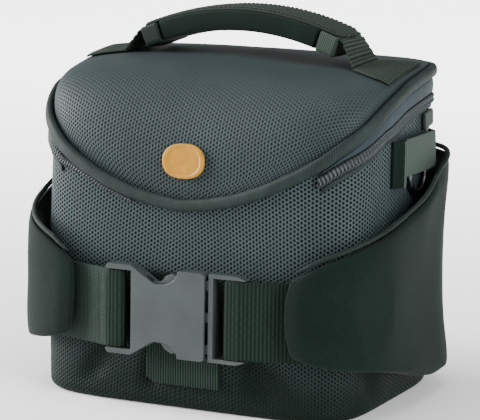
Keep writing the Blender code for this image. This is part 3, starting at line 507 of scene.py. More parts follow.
print("scene: materials made")


# Body

# the last three are strengths of painted shade: near the base, in the folds under the belt, and the belt's
# shadow on the wall behind it
body = {"columns": 300, "rows": 90, "pucker": 0.0004, "tuck": 0.0032, "curl": 0.08,
        "dent": 0.0012, "paintedShade": 0.95, "foldShade": 0.5, "beltShadow": 0.9}

# folds under the belt: share, lean, width; gathers under the zip's ends: share, depth
underBelt = ((-0.172, -1.4, 0.030), (-0.050, 0.0, 0.020), (0.150, 1.6, 0.042), (0.395, 0.8, 0.030))
underZip = ((-0.325, 0.0012), (-0.36, 0.0011), (-0.395, 0.0012), (0.40, 0.0008))


def lowFolds(share, z):
    # how deep the wall is tucked in under the belt, 0 to 1
    folds = sum(bump(share - centre + lean * (z - 0.02), 0, width) for centre, lean, width in underBelt)
    return (1 - ease(0.035, 0.070, z)) * min(folds, 1.0)


def bodySag(share, z):
    # soft folds of the wall: tucks under the belt, gathers under the zip's ends, and a shallow
    # dent in front where the lid's tongue presses
    out = body["pucker"] * ripple(share * 9, z * 60, 3.0, 1.0) - body["tuck"] * lowFolds(share, z)
    high = ease(0.10, 0.13, z) * (1 - ease(0.15, 0.185, z))
    for centre, depth in underZip:
        out -= depth * high * bump(share, centre + 0.06 * (z - 0.14), 0.011)
    return out - body["dent"] * bump(share, 0.0, 0.10) * bump(z, 0.105, 0.02)


def bodyPlace(u, v):
    # v runs round the base's edge, up to curl, and then up to the lid's edge
    share = 2 * u - 1
    edge, curl = bag["baseEdge"], body["curl"]
    if v < curl:
        angle = math.pi / 2 * v / curl
        return wallPoint(share, edge * (1 - math.cos(angle)), -edge * (1 - math.sin(angle)))
    top = rimHeight(share) - bag["seamGap"]
    z = edge + (v - curl) / (1 - curl) * (top - edge)
    fade = ease(edge, 0.02, z) * (1 - ease(top - 0.012, top, z))
    return wallPoint(share, z, bodySag(share, z) * fade)


def makeBody():
    bm = clothGrid(body["columns"], body["rows"], bodyPlace, (2 * halfGirth, 0.17), ring=True)
    cloth = bm.loops.layers.uv["cloth"]
    # painted shade kept on the points: darker near the base, in the folds under the belt and behind the
    # belt
    shadeMask = bm.verts.layers.float.new("shadeMask")
    for face in bm.faces:
        for corner in face.loops:
            x, y, z = corner.vert.co
            corner[cloth].uv.y = z
            # painted shade, darker towards the base
            low = 1 - ease(0.008, 0.068, z + 0.010 * ripple(x, y, z, 0.03))
            share = corner[cloth].uv.x / halfGirth - 1
            # painted shadow of the belt on the wall behind it
            behind = ease(0.036, 0.041, z) * (1 - ease(0.081, 0.086, z))
            behind *= 1 - ease(0.15, 0.17, abs(share))
            # painted shade near the base, in the folds and in the belt's shadow, added up
            paintedShade = body["paintedShade"] * low + body["foldShade"] * lowFolds(share, z) + body["beltShadow"] * behind
            corner.vert[shadeMask] = min(paintedShade, 1.0)
    baseEdges = [e for e in bm.edges if e.is_boundary and e.verts[0].co.z < bag["baseEdge"] / 2]
    for face in bmesh.ops.edgeloop_fill(bm, edges=baseEdges)["faces"]:
        for corner in face.loops:
            corner[cloth].uv = corner.vert.co.xy
    bmesh.ops.recalc_face_normals(bm, faces=bm.faces)
    piece = addPiece("bodyCloth", bm, bodyNylon, ["body_shell"], 60)
    addWall(piece)


makeBody()
print("scene: body made")


# Lid

lid = {"around": 300, "rings": 60, "puff": 0.0010, "dome": 0.97, "gather": 1.2}


def domePlace(u, v):
    # v runs from the crest to the lid's edge, up to dome, and down its skirt
    share = 2 * u - 1
    rim = rimHeight(share)
    edge = wallPoint(share, rim + bag["lidSkirt"])
    dome = lid["dome"]
    if v > dome:
        return wallPoint(share, rim + bag["lidSkirt"] * (1 - (v - dome) / (1 - dome)))
    angle = math.radians(90) * (v / dome) ** lid["gather"]
    across = math.sin(angle) ** (2 / bag["domeRoundness"])
    down = 1 - max(math.cos(angle), 0.0) ** (2 / bag["domeRoundness"])
    dip = bag["lidDip"] * max(edge.x, 0.0) / (bag["rimWidth"] / 2) * math.sin(math.pi * across)
    x = edge.x * across
    y = bag["crestSetback"] + (edge.y - bag["crestSetback"]) * across
    z = bag["crest"] - (bag["crest"] - edge.z) * down - dip
    # the panel swells a little between its sewn edge and its middle, and is never quite even
    swell = lid["puff"] * math.sin(math.pi * across) ** 2 * (0.5 + 0.8 * ripple(x, y, z, 0.045))
    return Vector((x, y, z + swell))


def walkedTo(surface, start, point):
    # distance over the dome to one of its points, from a place seen from above
    last, run, steps = None, 0.0, 20
    for k in range(steps + 1):
        x, y = start.lerp(point.xy, 1 - (1 - k / steps) ** 2)
        here = point if k == steps else surface.ray_cast(Vector((x, y, 1.0)), Vector((0, 0, -1)))[0]
        if here and last:
            run += (here - last).length
        last = here or last
    return run


def layFlat(surface, point):
    # a point of the dome on the cloth laid flat: across from the middle and along from the crest
    across = walkedTo(surface, Vector((0.0, point.y)), point)
    along = walkedTo(surface, Vector((point.x, bag["crestSetback"])), point)
    return math.copysign(across, point.x), math.copysign(along, point.y - bag["crestSetback"])


def makeLid():
    bm = clothGrid(lid["around"], lid["rings"], domePlace, (1.0, 1.0), ring=True)
    surface = BVHTree.FromBMesh(bm)
    cloth = bm.loops.layers.uv["cloth"]
    for vert in bm.verts:
        flat = layFlat(surface, vert.co)
        for corner in vert.link_loops:
            corner[cloth].uv = flat
    piece = addPiece("lidCloth", bm, lidNylon, ["lid"], 60)
    addWall(piece)
    return surface


lidSurface = makeLid()
print("scene: lid made")


# Binding and zip, measured square to the lid's edge

binding = {"width": 0.0074, "thickness": 0.0052, "roundness": 2.4, "around": 18, "along": 620,
           "radius": 0.0032, "uneven": 0.05}
zips = {
    "band": 0.0098, "bandThick": 0.0026, "coil": 0.0060, "coilThick": 0.0030, "tape": 0.0025,
    "tapeThick": 0.0012, "stop": 0.80, "bandStart": 0.27, "bandFull": 0.42, "coilLeft": 0.11,
    "coilRight": 0.262, "coilDrop": 0.03, "tooth": 0.0019, "endSize": (0.016, 0.010, 0.0030),
    "endShare": 0.610, "bandGrid": (16, 220), "tapeGrid": (12, 160), "endGrid": (24, 24),
    "coilAround": 20, "toothSteps": 6, "slipFrom": 0.20, "slipTo": 0.30, "slipWidth": 0.35,
}


def bindingPlace(u, v):
    share = 2 * v - 1
    across, out = oval(u, binding["width"] / 2, binding["thickness"] / 2, binding["roundness"])
    pull = 1 + binding["uneven"] * ripple(share * 40, u * 2, 0.0, 1.0)
    middle = bag["fitGap"] + binding["thickness"] / 2
    return wallPoint(share, belowRim(share, -across * pull), middle + out * pull)


def makeBindingRoll():
    flat = (2 * math.pi * binding["radius"], 2 * halfGirth)
    bm = clothGrid(binding["around"], binding["along"], bindingPlace, flat, ring=True)
    addPiece("bindingRoll", bm, bindingTape, ["lid_binding"])


def bandWidth(share):
    spread = (abs(share) - zips["bandStart"]) / (zips["bandFull"] - zips["bandStart"])
    return zips["band"] * min(max(spread, 0.12), 1.0)


def bandCentre(share):
    return binding["width"] / 2 + bag["fitGap"] + bandWidth(share) / 2


def coilCentre(share):
    clear = min(max(1 - (zips["bandStart"] - abs(share)) / zips["coilDrop"], 0), 1)
    return (binding["width"] / 2 + (bag["fitGap"] + bandWidth(share)) * clear + bag["fitGap"]
            + zips["coil"] / 2)


def coilWidth(share):
    # the left coil slips out from beneath the binding little by little
    slip = ease(zips["slipFrom"], zips["slipTo"], abs(share))
    return zips["coil"] * (zips["slipWidth"] + (1 - zips["slipWidth"]) * slip)


def slippedCentre(share):
    return coilCentre(share) - (zips["coil"] - coilWidth(share)) / 2


def tapeCentre(share):
    return coilCentre(share) + (zips["coil"] + zips["tape"]) / 2 + bag["fitGap"]


def wallStrip(start, end, centre, width, thickness, grid, roundness, shape=None, mark=None):
    # a strip on the wall between two shares; shape(u, along, across, out) may change its
    # section, and mark(along, across) is kept on its points as the tooth attribute
    run = abs(end - start) * halfGirth
    marks = {}

    def place(u, v):
        share = start + (end - start) * v
        across, out = oval(u, width(share) / 2, thickness / 2, roundness)
        if shape:
            across, out = shape(u, v * run, across, out)
        point = wallPoint(share, belowRim(share, centre(share) - across),
                          bag["fitGap"] + thickness / 2 + out)
        if mark:
            marks[tuple(round(c, 7) for c in point)] = mark(v * run, across)
        return point

    girth = 2 * (width(end) + thickness)
    bm = clothGrid(*grid, place, (girth, run), ring=True, capped=True)
    if mark:
        layer = bm.verts.layers.float.new("tooth")
        for vert in bm.verts:
            vert[layer] = marks.get(tuple(round(c, 7) for c in vert.co), 0.0)
    return bm


def toothAt(along, across):
    # 1 on a tooth and 0 between teeth; the turns lean, and the two sides mesh half a tooth apart
    half = 0.5 if across > 0 else 0.0
    lean = along / zips["tooth"] + half + 260 * abs(across)
    return 0.5 + 0.5 * math.sin(2 * math.pi * lean)


def coilShape(u, along, across, out):
    if out < 0:
        return across, out
    groove = 1 - 0.5 * bump(across, 0.0, 0.0005)
    return across, out * groove * (0.45 + 0.75 * toothAt(along, across))


def makeZip(side, word, coilStart):
    low = word.lower()
    end = side * zips["stop"]
    bandStart = side * zips["bandStart"]

    def rolled(u, along, across, out):
        return across, out * (1 + 0.12 * ripple(along, u * 0.002, side, 0.012))

    band = wallStrip(bandStart, end, bandCentre, bandWidth, zips["bandThick"], zips["bandGrid"],
                     2.6, rolled)
    addPiece("zipBand" + word, band, bandTape, ["zip_band_" + low])
    run = abs(end - side * coilStart) * halfGirth
    centre, width = (coilCentre, lambda s: zips["coil"]) if side > 0 else (slippedCentre, coilWidth)
    coilGrid = (zips["coilAround"], int(run / zips["tooth"]) * zips["toothSteps"])
    coil = wallStrip(side * coilStart, end, centre, width, zips["coilThick"], coilGrid, 2.4,
                     coilShape, toothAt)
    addPiece("zipCoil" + word, coil, zipCoil, ["zip_coil_" + low])
    tape = wallStrip(bandStart, end, tapeCentre, lambda s: zips["tape"], zips["tapeThick"],
                     zips["tapeGrid"], 4.0)
    addPiece("zipTape" + word, tape, bindingTape, ["zip_tape_" + low])
    length, height, thickness = zips["endSize"]
    middle = tapeCentre(zips["endShare"]) + zips["tape"] / 2 + bag["fitGap"] + height / 2
    reach = length / 2 / halfGirth
    fold = wallStrip(side * (zips["endShare"] - reach), side * (zips["endShare"] + reach),
                     lambda s: middle, lambda s: height, thickness, zips["endGrid"], 5.0)
    addPiece("zipEnd" + word, fold, tabWebbing, ["zip_end_" + low])


makeBindingRoll()
makeZip(-1, "Left", zips["coilLeft"])
makeZip(1, "Right", zips["coilRight"])
print("scene: binding and zip made")


# Badge

badge = {"size": (0.028, 0.021), "thickness": 0.0022, "rise": 0.0262, "roundness": 2.3,
         "lift": 0.0006}
# from the middle of its face over the raised rim and down the side: place, size, height
badgeProfile = ((0.0, 0.0, 0.72), (0.45, 0.70, 0.72), (0.55, 0.80, 0.76), (0.65, 0.86, 1.0),
                (0.78, 0.94, 1.0), (0.86, 0.99, 0.85), (1.0, 1.0, 0.0))

# the way out from the lid under the badge
badgeOut = lidSurface.ray_cast(Vector((0, -1.0, bag["frontRim"] + badge["rise"])), Vector((0, 1, 0)))[1]
badgeOut = badgeOut if badgeOut.y < 0 else -badgeOut


def badgePlace(u, v):
    size, depth = smooth(badgeProfile, 1, v), smooth(badgeProfile, 2, v)
    x, h = oval(u, badge["size"][0] / 2 * size, badge["size"][1] / 2 * size, badge["roundness"])
    start = Vector((x, -1.0, bag["frontRim"] + badge["rise"] + h))
    hit = lidSurface.ray_cast(start, Vector((0, 1, 0)))[0]
    return hit + badgeOut * (badge["lift"] + depth * badge["thickness"])


def makeBadge():
    bm = clothGrid(64, 28, badgePlace, (0.03, 0.02), ring=True, capped=True)
    addPiece("badgeOval", bm, badgeRubber, ["lid_badge"], 50)


makeBadge()
print("scene: badge made")


# Handle

handle = {
    "setback": 0.0160, "strapWidth": 0.030, "strapThick": 0.0018, "top": 0.2362, "drop": 0.0150,
    "archReach": 0.071, "sharpness": 2.03, "footReach": 0.081, "strapReach": 0.1065,
    "rightMore": 0.0030, "rib": 0.0026, "footSpread": 0.019, "leftSpread": 0.3,
    "lift": 0.0006, "gripReach": 0.0565, "gripHeight": 0.0125, "gripWall": 0.0024,
    "capReach": 0.0625, "capWidth": 0.032, "capTongue": 0.0075, "capThick": 0.0018,
    "capCrown": 0.0012, "capGap": 0.0001, "capSeam": 0.86, "seamEnd": 0.004,
    "tapeWidth": 0.0115, "tapeThick": 0.0012,
}


def arch(x):
    fall = handle["drop"] * (abs(x) / handle["archReach"]) ** handle["sharpness"]
    return handle["top"] - handle["strapThick"] / 2 - fall


def archNormal(x):
    step = 0.0005
    return Vector((arch(x - step) - arch(x + step), 0, 2 * step)).normalized()


def archPoint(x, y, height):
    return Vector((x, handle["setback"] + y, arch(x))) + archNormal(x) * height


def drape(x, y, lift):
    hit = lidSurface.ray_cast(Vector((x, y, 1.0)), Vector((0, 0, -1)))[0]
    return Vector((x, y, hit.z + lift))


def strapMiddle(x, y):
    # the strap's middle layer: on the lid at both ends, arched between them; its feet spread
    # forwards, the right one more
    spread = handle["footSpread"] * ease(handle["capReach"], handle["strapReach"], abs(x))
    y -= spread * (1.0 if x > 0 else handle["leftSpread"]) * (0.5 - y / handle["strapWidth"])
    if abs(x) <= handle["archReach"]:
        return archPoint(x, y, 0.0)
    flat = drape(math.copysign(max(abs(x), handle["footReach"]), x), handle["setback"] + y,
                 handle["lift"] + handle["strapThick"] / 2)
    if abs(x) >= handle["footReach"]:
        return flat
    top = archPoint(math.copysign(handle["archReach"], x), y, 0.0)
    part = (abs(x) - handle["archReach"]) / (handle["footReach"] - handle["archReach"])
    return top.lerp(flat, part)


def strapPlace(u, v):
    x = (2 * v - 1) * (handle["strapReach"] + (handle["rightMore"] if v > 0.5 else 0.0))
    y, out = oval(u, handle["strapWidth"] / 2, handle["strapThick"] / 2, 5.0)
    ahead, behind = strapMiddle(x + 0.0004, y), strapMiddle(x - 0.0004, y)
    run = (ahead - behind).normalized()
    up = run.cross(Vector((0, 1, 0)))
    up = up if up.z > 0 else -up
    # the weft ribs open where the webbing bends, and lie flat where it is sewn down
    bent = 1 - ease(handle["footReach"] - 0.002, handle["footReach"] + 0.003, abs(x))
    bent *= ease(handle["capReach"], handle["capReach"] + 0.006, abs(x))
    groove = max(math.cos(2 * math.pi * x / handle["rib"]), 0.0) ** 3 if out > 0 else 0.0
    return strapMiddle(x, y) + up.normalized() * (out - groove * (0.00010 + 0.0010 * bent))


def makeStrap():
    flat = (2 * handle["strapWidth"], 2 * handle["strapReach"])
    bm = clothGrid(36, 720, strapPlace, flat, ring=True, capped=True)
    addPiece("handleStrap", bm, handleWebbing, ["handle_strap"])


def sleeveRing(inner, outer, floor, top, bottom, bend, sag):
    # closed section of a sleeve with a lip up each edge of the strap: one half and its mirror
    half = [(inner, floor), (inner, top), ((inner + outer) / 2, top + 0.0004), (outer, top - 0.0002),
            (outer + sag, (top + bottom) / 2), (outer, bottom + bend),
            (outer - bend * 0.3, bottom + bend * 0.3), (outer - bend, bottom)]
    return [(-y, z) for y, z in half] + [(0, bottom - bend / 3)] + half[::-1]


def ringPoint(ring, share):
    # a point round a closed ring of points, at equal steps between them
    place = (share % 1.0) * len(ring)
    k = int(place)
    a, b = Vector(ring[k % len(ring)]), Vector(ring[(k + 1) % len(ring)])
    return a.lerp(b, place - k)


def makeSleeve(name, start, end, ring, along, material, replaced, swell):
    def place(u, v):
        x = start + (end - start) * v
        p = ringPoint(ring, u)
        tuck = 1 - swell * (1 - math.sin(math.pi * min(max(v, 0.0), 1.0)) ** 0.3)
        return archPoint(x, p.x * tuck, p.y)

    bm = clothGrid(len(ring) * 2, along, place, (0.08, abs(end - start)), ring=True, capped=True)
    piece = addPiece(name, bm, material, replaced)
    addSoftness(piece)
    return piece


def makeGrip():
    inner = handle["strapWidth"] / 2 + bag["fitGap"]
    outer = inner + handle["gripWall"]
    top = handle["strapThick"] / 2
    ring = sleeveRing(inner, outer, -top - bag["fitGap"], top, top - handle["gripHeight"],
                      handle["gripWall"], 0.0004)
    reach = handle["gripReach"]
    piece = makeSleeve("gripNeoprene", -reach, reach, ring, 60, neoprene, ["handle_grip"], 0.02)
    for side, word in ((-1, "Left"), (1, "Right")):
        innerTape = inner + handle["gripWall"] * 0.2
        outerTape = outer + handle["tapeThick"]
        cloth = tabWebbing if side > 0 else pipingTape
        bottom = top - handle["gripHeight"] - handle["tapeThick"] * 0.4
        ring = sleeveRing(innerTape, outerTape, -top - bag["fitGap"], top, bottom, handle["gripWall"], 0.0)
        start = side * (reach + bag["fitGap"])
        makeSleeve("gripTape" + word, start, start + side * handle["tapeWidth"], ring, 16, cloth,
                   ["grip_tape_" + word.lower()], 0.0)


def capHalfWidth(x):
    past = max(abs(x) - handle["capReach"], 0.0) / handle["capTongue"]
    return handle["capWidth"] / 2 * (1 - min(past, 1.0) ** 2.4 * 0.72)


def capPlace(u, v):
    reach = handle["capReach"] + handle["capTongue"]
    x = reach * (2 * v - 1)
    half = capHalfWidth(x)
    across, out = oval(u, half, handle["capThick"] / 2, 5.0)
    low = handle["strapThick"] / 2 + handle["capGap"] + handle["capThick"] / 2
    side = abs(across) / half
    crown = handle["capCrown"] * (1 - side ** 2.2)
    groove = 0.00045 * bump(side, handle["capSeam"], 0.035)
    top = crown - groove if out > 0 else 0.0
    return archPoint(x, across, low + out + top)


def makeCap():
    reach = handle["capReach"] + handle["capTongue"]
    bm = clothGrid(56, 360, capPlace, (2 * handle["capWidth"], 2 * reach), ring=True, capped=True)
    addPiece("handleCap", bm, handleWebbing, ["handle_cap"])

    def seam(side):
        def place(distance):
            x = distance - reach + handle["seamEnd"]
            y = side * capHalfWidth(x) * handle["capSeam"]
            low = handle["strapThick"] / 2 + bag["fitGap"] + handle["capThick"]
            return archPoint(x, y, low + 0.0002), archNormal(x)
        return 2 * (reach - handle["seamEnd"]), place

    thread = {"pitch": 0.0030, "radius": 0.00028}
    addStitches("capStitches", [seam(-1), seam(1)], thread, oliveThread)


makeStrap()
makeGrip()
makeCap()
print("scene: handle made")


# Belt wings

wing = {
    "thickness": 0.0085, "startLeft": 0.202, "startRight": 0.214, "end": 0.780, "frontTop": 0.090,
    "backTop": 0.150, "frontBottom": 0.041, "backBottom": 0.012, "frontGap": 0.0065,
    "flareLeft": 0.0060, "flareRight": 0.0075, "endLength": 0.010, "piping": 0.0016,
    "swell": 0.0012, "pressure": 4.0, "around": 40, "along": 120,
    "bulgeLeft": 0.0006, "bulgeRight": 0.0018, "cornerLeft": 0.82, "cornerRight": 0.84,
}
# along the wing: share, rise of its top, fall of its bottom, flare of its edges
wingShape = ((0.00, 0.00, 0.00, 0.00), (0.10, 0.15, 0.16, 0.04), (0.22, 0.32, 0.31, 0.15),
             (0.37, 0.50, 0.57, 0.55), (0.52, 0.66, 0.85, 1.00), (0.65, 0.87, 0.98, 1.00),
             (0.80, 0.97, 1.00, 0.60), (1.00, 1.00, 1.00, 0.00))


def ofSide(side, name):
    return wing[name + ("Right" if side > 0 else "Left")]


def wingAt(side, share):
    # top, bottom and distance from the wall of a wing at a share, and the flare of its edges
    front = ofSide(side, "start")
    along = max(share - front, 0.0) / (wing["end"] - front)
    top = wing["frontTop"] + smooth(wingShape, 1, along) * (wing["backTop"] - wing["frontTop"])
    bottom = wing["frontBottom"] - smooth(wingShape, 2, along) * (wing["frontBottom"] - wing["backBottom"])
    flare = ofSide(side, "flare") * smooth(wingShape, 3, along)
    return top, bottom, bag["fitGap"] + wing["frontGap"] * (1 - along), flare


def wingPlaceFor(side):
    front, bulge, corner = (ofSide(side, name) for name in ("start", "bulge", "corner"))
    span = wing["end"] - front
    nose = wing["endLength"] / halfGirth / span

    def place(u, v):
        share = front + span * v
        top, bottom, inner, flare = wingAt(side, share)
        closing = min(ease(-0.25 * nose, nose, v), ease(-0.5 * nose, nose, 1 - v))
        thick = 0.45 + 0.55 * closing
        past = max(1 - v / (0.9 * nose), 0.0)
        tall = corner + (1 - corner) * math.sqrt(1 - past * past)
        tall *= 0.72 + 0.28 * ease(-3 * nose, nose, 1 - v)
        centre, half = (top + bottom) / 2, (top - bottom) / 2
        up, out = oval(u, half, wing["thickness"] * thick / 2 - 0.0004, 3.2)
        forward = bulge / halfGirth * (1 - ease(0.0, 5 * nose, v)) * (1 - 1.6 * (up / half) ** 2)
        return wallPoint(side * (share - forward), centre + up * tall,
                         inner + wing["thickness"] / 2 + flare * (up / half) ** 2 + out, 14)

    return place, span


def simulatePad(piece, pressure, cap):
    # the foam swells under its jersey: cloth with pressure, no gravity, and a cap on each point
    start = [v.co.copy() for v in piece.data.vertices]
    cloth = piece.modifiers.new("cloth", "CLOTH")
    cloth.settings.use_pressure = True
    cloth.settings.uniform_pressure_force = pressure
    cloth.settings.tension_stiffness = 20
    cloth.settings.compression_stiffness = 20
    cloth.settings.bending_stiffness = 0.5
    cloth.settings.effector_weights.gravity = 0.0
    cloth.point_cache.frame_start = 1
    cloth.point_cache.frame_end = 20
    for step in range(1, 21):
        bpy.context.scene.frame_set(step)
    shaped = piece.evaluated_get(bpy.context.evaluated_depsgraph_get()).to_mesh()
    ends = [v.co.copy() for v in shaped.vertices]
    piece.modifiers.remove(cloth)
    for vert, old, new in zip(piece.data.vertices, start, ends):
        step = new - old
        if step.length > cap:
            step *= cap / step.length
        vert.co = old + step
    bpy.context.scene.frame_set(1)


def makeWing(side, word):
    place, span = wingPlaceFor(side)
    bm = clothGrid(wing["around"], wing["along"], place, (0.25, span * halfGirth), ring=True, capped=True)
    piece = addPiece("wing" + word, bm, neoprene, ["wing_" + word.lower()])
    simulatePad(piece, wing["pressure"], wing["swell"])
    addSoftness(piece)

    end = wing["endLength"] / halfGirth
    first, last = ofSide(side, "start") + end * 0.5, wing["end"] - end

    def pipe(u, v):
        share = first + (last - first) * v
        top, bottom, inner, flare = wingAt(side, share)
        crown = (top - bottom) / 2
        out = inner + wing["thickness"] / 2 + flare
        up, across = oval(u, wing["piping"], wing["piping"])
        fade = math.sqrt(min(v, 1 - v, 0.04) / 0.04 + 0.02)
        pull = min(fade, 1.0) * (1 + 0.05 * ripple(share * 60, u, side, 1.0))
        height = (top + bottom) / 2 + crown + wing["piping"] + bag["fitGap"]
        return wallPoint(side * share, height + up * pull, out + across * pull, 14)

    flat = (2 * math.pi * wing["piping"], (last - first) * halfGirth)
    bm = clothGrid(12, 300, pipe, flat, ring=True, capped=True)
    addPiece("wingPiping" + word, bm, pipingTape, ["wing_piping_" + word.lower()])


makeWing(-1, "Left")
makeWing(1, "Right")
print("scene: wings made")


# Belt and buckle, in a frame that leans with the front wall

belt = {
    "height": 0.0610, "width": 0.048, "thickness": 0.0016, "reach": 0.088, "gap": 0.0042,
    "buckle": 0.0094, "barWidth": 0.0080, "barThick": 0.0040, "femaleBar": -0.0355,
    "maleBar": 0.0355, "rib": 0.0024, "doubledTo": -0.0457, "doubled": 0.0014, "seamAt": -0.0543,
    "endSeam": 0.0022, "seamInset": 0.003,
}


def beltFrame():
    depth = halfDepth(belt["height"])
    lean = (halfDepth(belt["height"] + 0.001) - depth) / 0.001
    up = Vector((0, -lean, 1)).normalized()
    return Vector((0, -depth, belt["height"])), Vector((0, -up.z, up.y)), up


beltOrigin, beltOut, beltUp = beltFrame()


def beltPoint(x, out, h):
    return beltOrigin + Vector((x, 0, 0)) + beltOut * out + beltUp * h


def pathPoint(path, distance):
    # point and direction on a line of points, at a distance along it
    for a, b in zip(path, path[1:]):
        run = (b - a).length
        if distance <= run or b is path[-1]:
            t = min(distance / run, 1.0)
            return a.lerp(b, t), (b - a).normalized()
        distance -= run


def pathLength(path):
    return sum((b - a).length for a, b in zip(path, path[1:]))


def underWing(side, x):
    share = min((k / 2000 for k in range(800)), key=lambda s: abs(wallPoint(s, belt["height"]).x - x))
    wall = wallPoint(share, belt["height"])
    normal = (wallPoint(share, belt["height"], 1.0) - wall).normalized()
    return (wall + normal * wingAt(side, share)[2] * 0.5 - beltOrigin).dot(beltOut)


def webbingPath(side, barEnd):
    middle = belt["gap"] + belt["buckle"] / 2
    layer = belt["barThick"] / 2 + bag["fitGap"] + belt["thickness"] / 2
    far = barEnd + side * belt["barWidth"]
    path = [Vector((side * x, underWing(side, x)))
            for x in (belt["reach"], belt["reach"] - 0.006, belt["reach"] - 0.012)]
    path += [Vector((far, middle + layer))]
    centre = barEnd + side * belt["barThick"] / 2
    for k in range(9):
        turn = math.pi * (0.5 - k / 8)
        path.append(Vector((centre - side * layer * math.cos(turn), middle + layer * math.sin(turn))))
    path += [Vector((far, middle - layer)), Vector((far + side * 0.010, middle - layer - 0.0008))]
    return path


def outAt(path, x):
    # distance from the wall of the path's first run over a place across the bag
    for a, b in zip(path, path[1:]):
        if min(a.x, b.x) <= x <= max(a.x, b.x) and abs(b.x - a.x) > 1e-9:
            return a.y + (b.y - a.y) * (x - a.x) / (b.x - a.x)
    return 0.0


def makeBeltWebbing(side, barEnd, word):
    path = webbingPath(side, barEnd)
    length = pathLength(path)

    def place(u, v):
        point, run = pathPoint(path, length * v)
        h, out = oval(u, belt["width"] / 2, belt["thickness"] / 2, 6.0)
        normal = Vector((-run.y, run.x)) * side
        rib = 0.0003 * math.sin(2 * math.pi * length * v / belt["rib"])
        # on the left a second layer is sewn on, as far as the buckle
        doubled = 0.0
        if side < 0 and v < 0.5:
            doubled = 1 - ease(belt["doubledTo"] - 0.0007, belt["doubledTo"], point.x)
        if out > 0:
            out += rib * (1 - 0.8 * doubled) + belt["doubled"] * doubled
        p = point + normal * out
        return beltPoint(p.x, p.y, h)

    bm = clothGrid(32, int(length / belt["rib"]) * 8, place, (2 * belt["width"], length),
                   ring=True, capped=True)
    piece = addPiece("beltWebbing" + word, bm, beltWebbing, ["belt_webbing_" + word.lower()])
    if side < 0:
        piece.data.materials.append(doubledWebbing)
        for face in piece.data.polygons:
            face.material_index = int(face.center.x < belt["doubledTo"] and face.normal.y < 0.3)

        def seamFor(x):
            def seam(distance):
                h = distance - belt["width"] / 2 + belt["seamInset"]
                top = max(outAt(path, x), 0.0) + belt["thickness"] / 2 + belt["doubled"]
                return beltPoint(x, top, h), beltOut
            return belt["width"] - 2 * belt["seamInset"], seam

        addStitches("beltStitches", [seamFor(belt["seamAt"]), seamFor(belt["doubledTo"] - belt["endSeam"])],
                    {"pitch": 0.0026, "radius": 0.00032}, darkThread)


makeBeltWebbing(-1, belt["femaleBar"], "Left")
makeBeltWebbing(1, belt["maleBar"], "Right")


def dressHard(name, nodeName, material, width, segments, sharp=35):
    # a merged copy of a moulded solid with its edges rounded
    bm = bmesh.new()
    bm.from_mesh(nodes[nodeName].data)
    bmesh.ops.remove_doubles(bm, verts=bm.verts, dist=1e-6)
    bmesh.ops.dissolve_limit(bm, angle_limit=math.radians(1.5), verts=bm.verts, edges=bm.edges)
    piece = addPiece(name, bm, material, [nodeName])
    rounded = piece.modifiers.new("rounded", "BEVEL")
    rounded.width = width
    rounded.segments = segments
    rounded.limit_method = "ANGLE"
    rounded.angle_limit = math.radians(sharp)
    shading = piece.modifiers.new("shading", "WEIGHTED_NORMAL")
    shading.weight = 100


dressHard("buckleSocket", "buckle_female", acetal, 0.0007, 3)
dressHard("bucklePlug", "buckle_male", acetal, 0.0005, 3)


patch = {"left": -0.0225, "right": 0.0265, "bottom": 0.0155, "top": 0.0775, "thickness": 0.0030,
         "rib": 0.0017, "corner": 0.0035}


def patchPlace(u, v):
    # v across the bag, u round the section
    x = patch["left"] + (patch["right"] - patch["left"]) * v
    half = (patch["top"] - patch["bottom"]) / 2
    h, out = oval(u, half, patch["thickness"] / 2, 7.0)
    rib = 0.00018 * math.sin(2 * math.pi * x / patch["rib"]) if out > 0 else 0.0
    turned = 0.0007 * bump(x, patch["left"] + 0.0012, 0.0012) if out > 0 else 0.0
    # its lower left corner is cut round
    h += patch["corner"] * bump(x, patch["left"], patch["corner"]) * ease(0.0, -half, h)
    layer = bag["fitGap"] + patch["thickness"] / 2
    return frontPoint(x, patch["bottom"] + half + h, layer + out + rib + turned)


patchSize = (2 * (patch["top"] - patch["bottom"] + patch["thickness"]), patch["right"] - patch["left"])
addPiece("beltPatch", clothGrid(60, 240, patchPlace, patchSize, ring=True, capped=True),
         patchWebbing, ["belt_patch"])
print("scene: belt made")


# Side tabs, rings and back plate

tab = {"start": 0.433, "end": 0.627, "bottom": 0.1420, "top": 0.1650, "thickness": 0.0022,
       "lift": 0.0046, "ramp": 0.0070, "fold": 0.0085, "hang": 0.0060}
dRing = {"wire": 0.0017, "halfWidth": 0.0135, "straight": 0.0045, "corner": 0.0020,
         "share": 0.548, "height": 0.1450}


def makeTab(side, word):
    low = bag["fitGap"] + tab["thickness"] / 2
    start, end = tab["start"] * halfGirth, tab["end"] * halfGirth

    def place(u, v):
        along = start + (end - start) * v
        rise = min(ease(0, tab["ramp"] * 0.9, along - start), ease(0, tab["ramp"] * 0.9, end - along))
        # its front end is folded back on itself and hangs lower than the rest
        fold = 1 - ease(tab["fold"], tab["fold"] + 0.0007, along - start)
        bottom = tab["bottom"] - tab["hang"] * fold
        half = (tab["top"] - 0.0008 * fold - bottom) / 2
        h, out = oval(u, half, tab["thickness"] / 2, 6.0)
        out += 0.0006 * bump(along - start, tab["fold"] - 0.0012, 0.0011) if out > 0 else 0.0
        return wallPoint(side * along / halfGirth, bottom + half + h, low + tab["lift"] * rise + out)

    bm = clothGrid(28, 160, place, (0.05, end - start), ring=True, capped=True)
    piece = addPiece("sideTab" + word, bm, tabWebbing, ["side_tab_" + word.lower()])
    piece.data.materials.append(neoprene)
    for face in piece.data.polygons:
        # the fold's inside, in deep shade
        reach = min(piece.data.uv_layers["cloth"].uv[k].vector.y for k in face.loop_indices)
        face.material_index = int(reach < tab["fold"] - 0.0030)


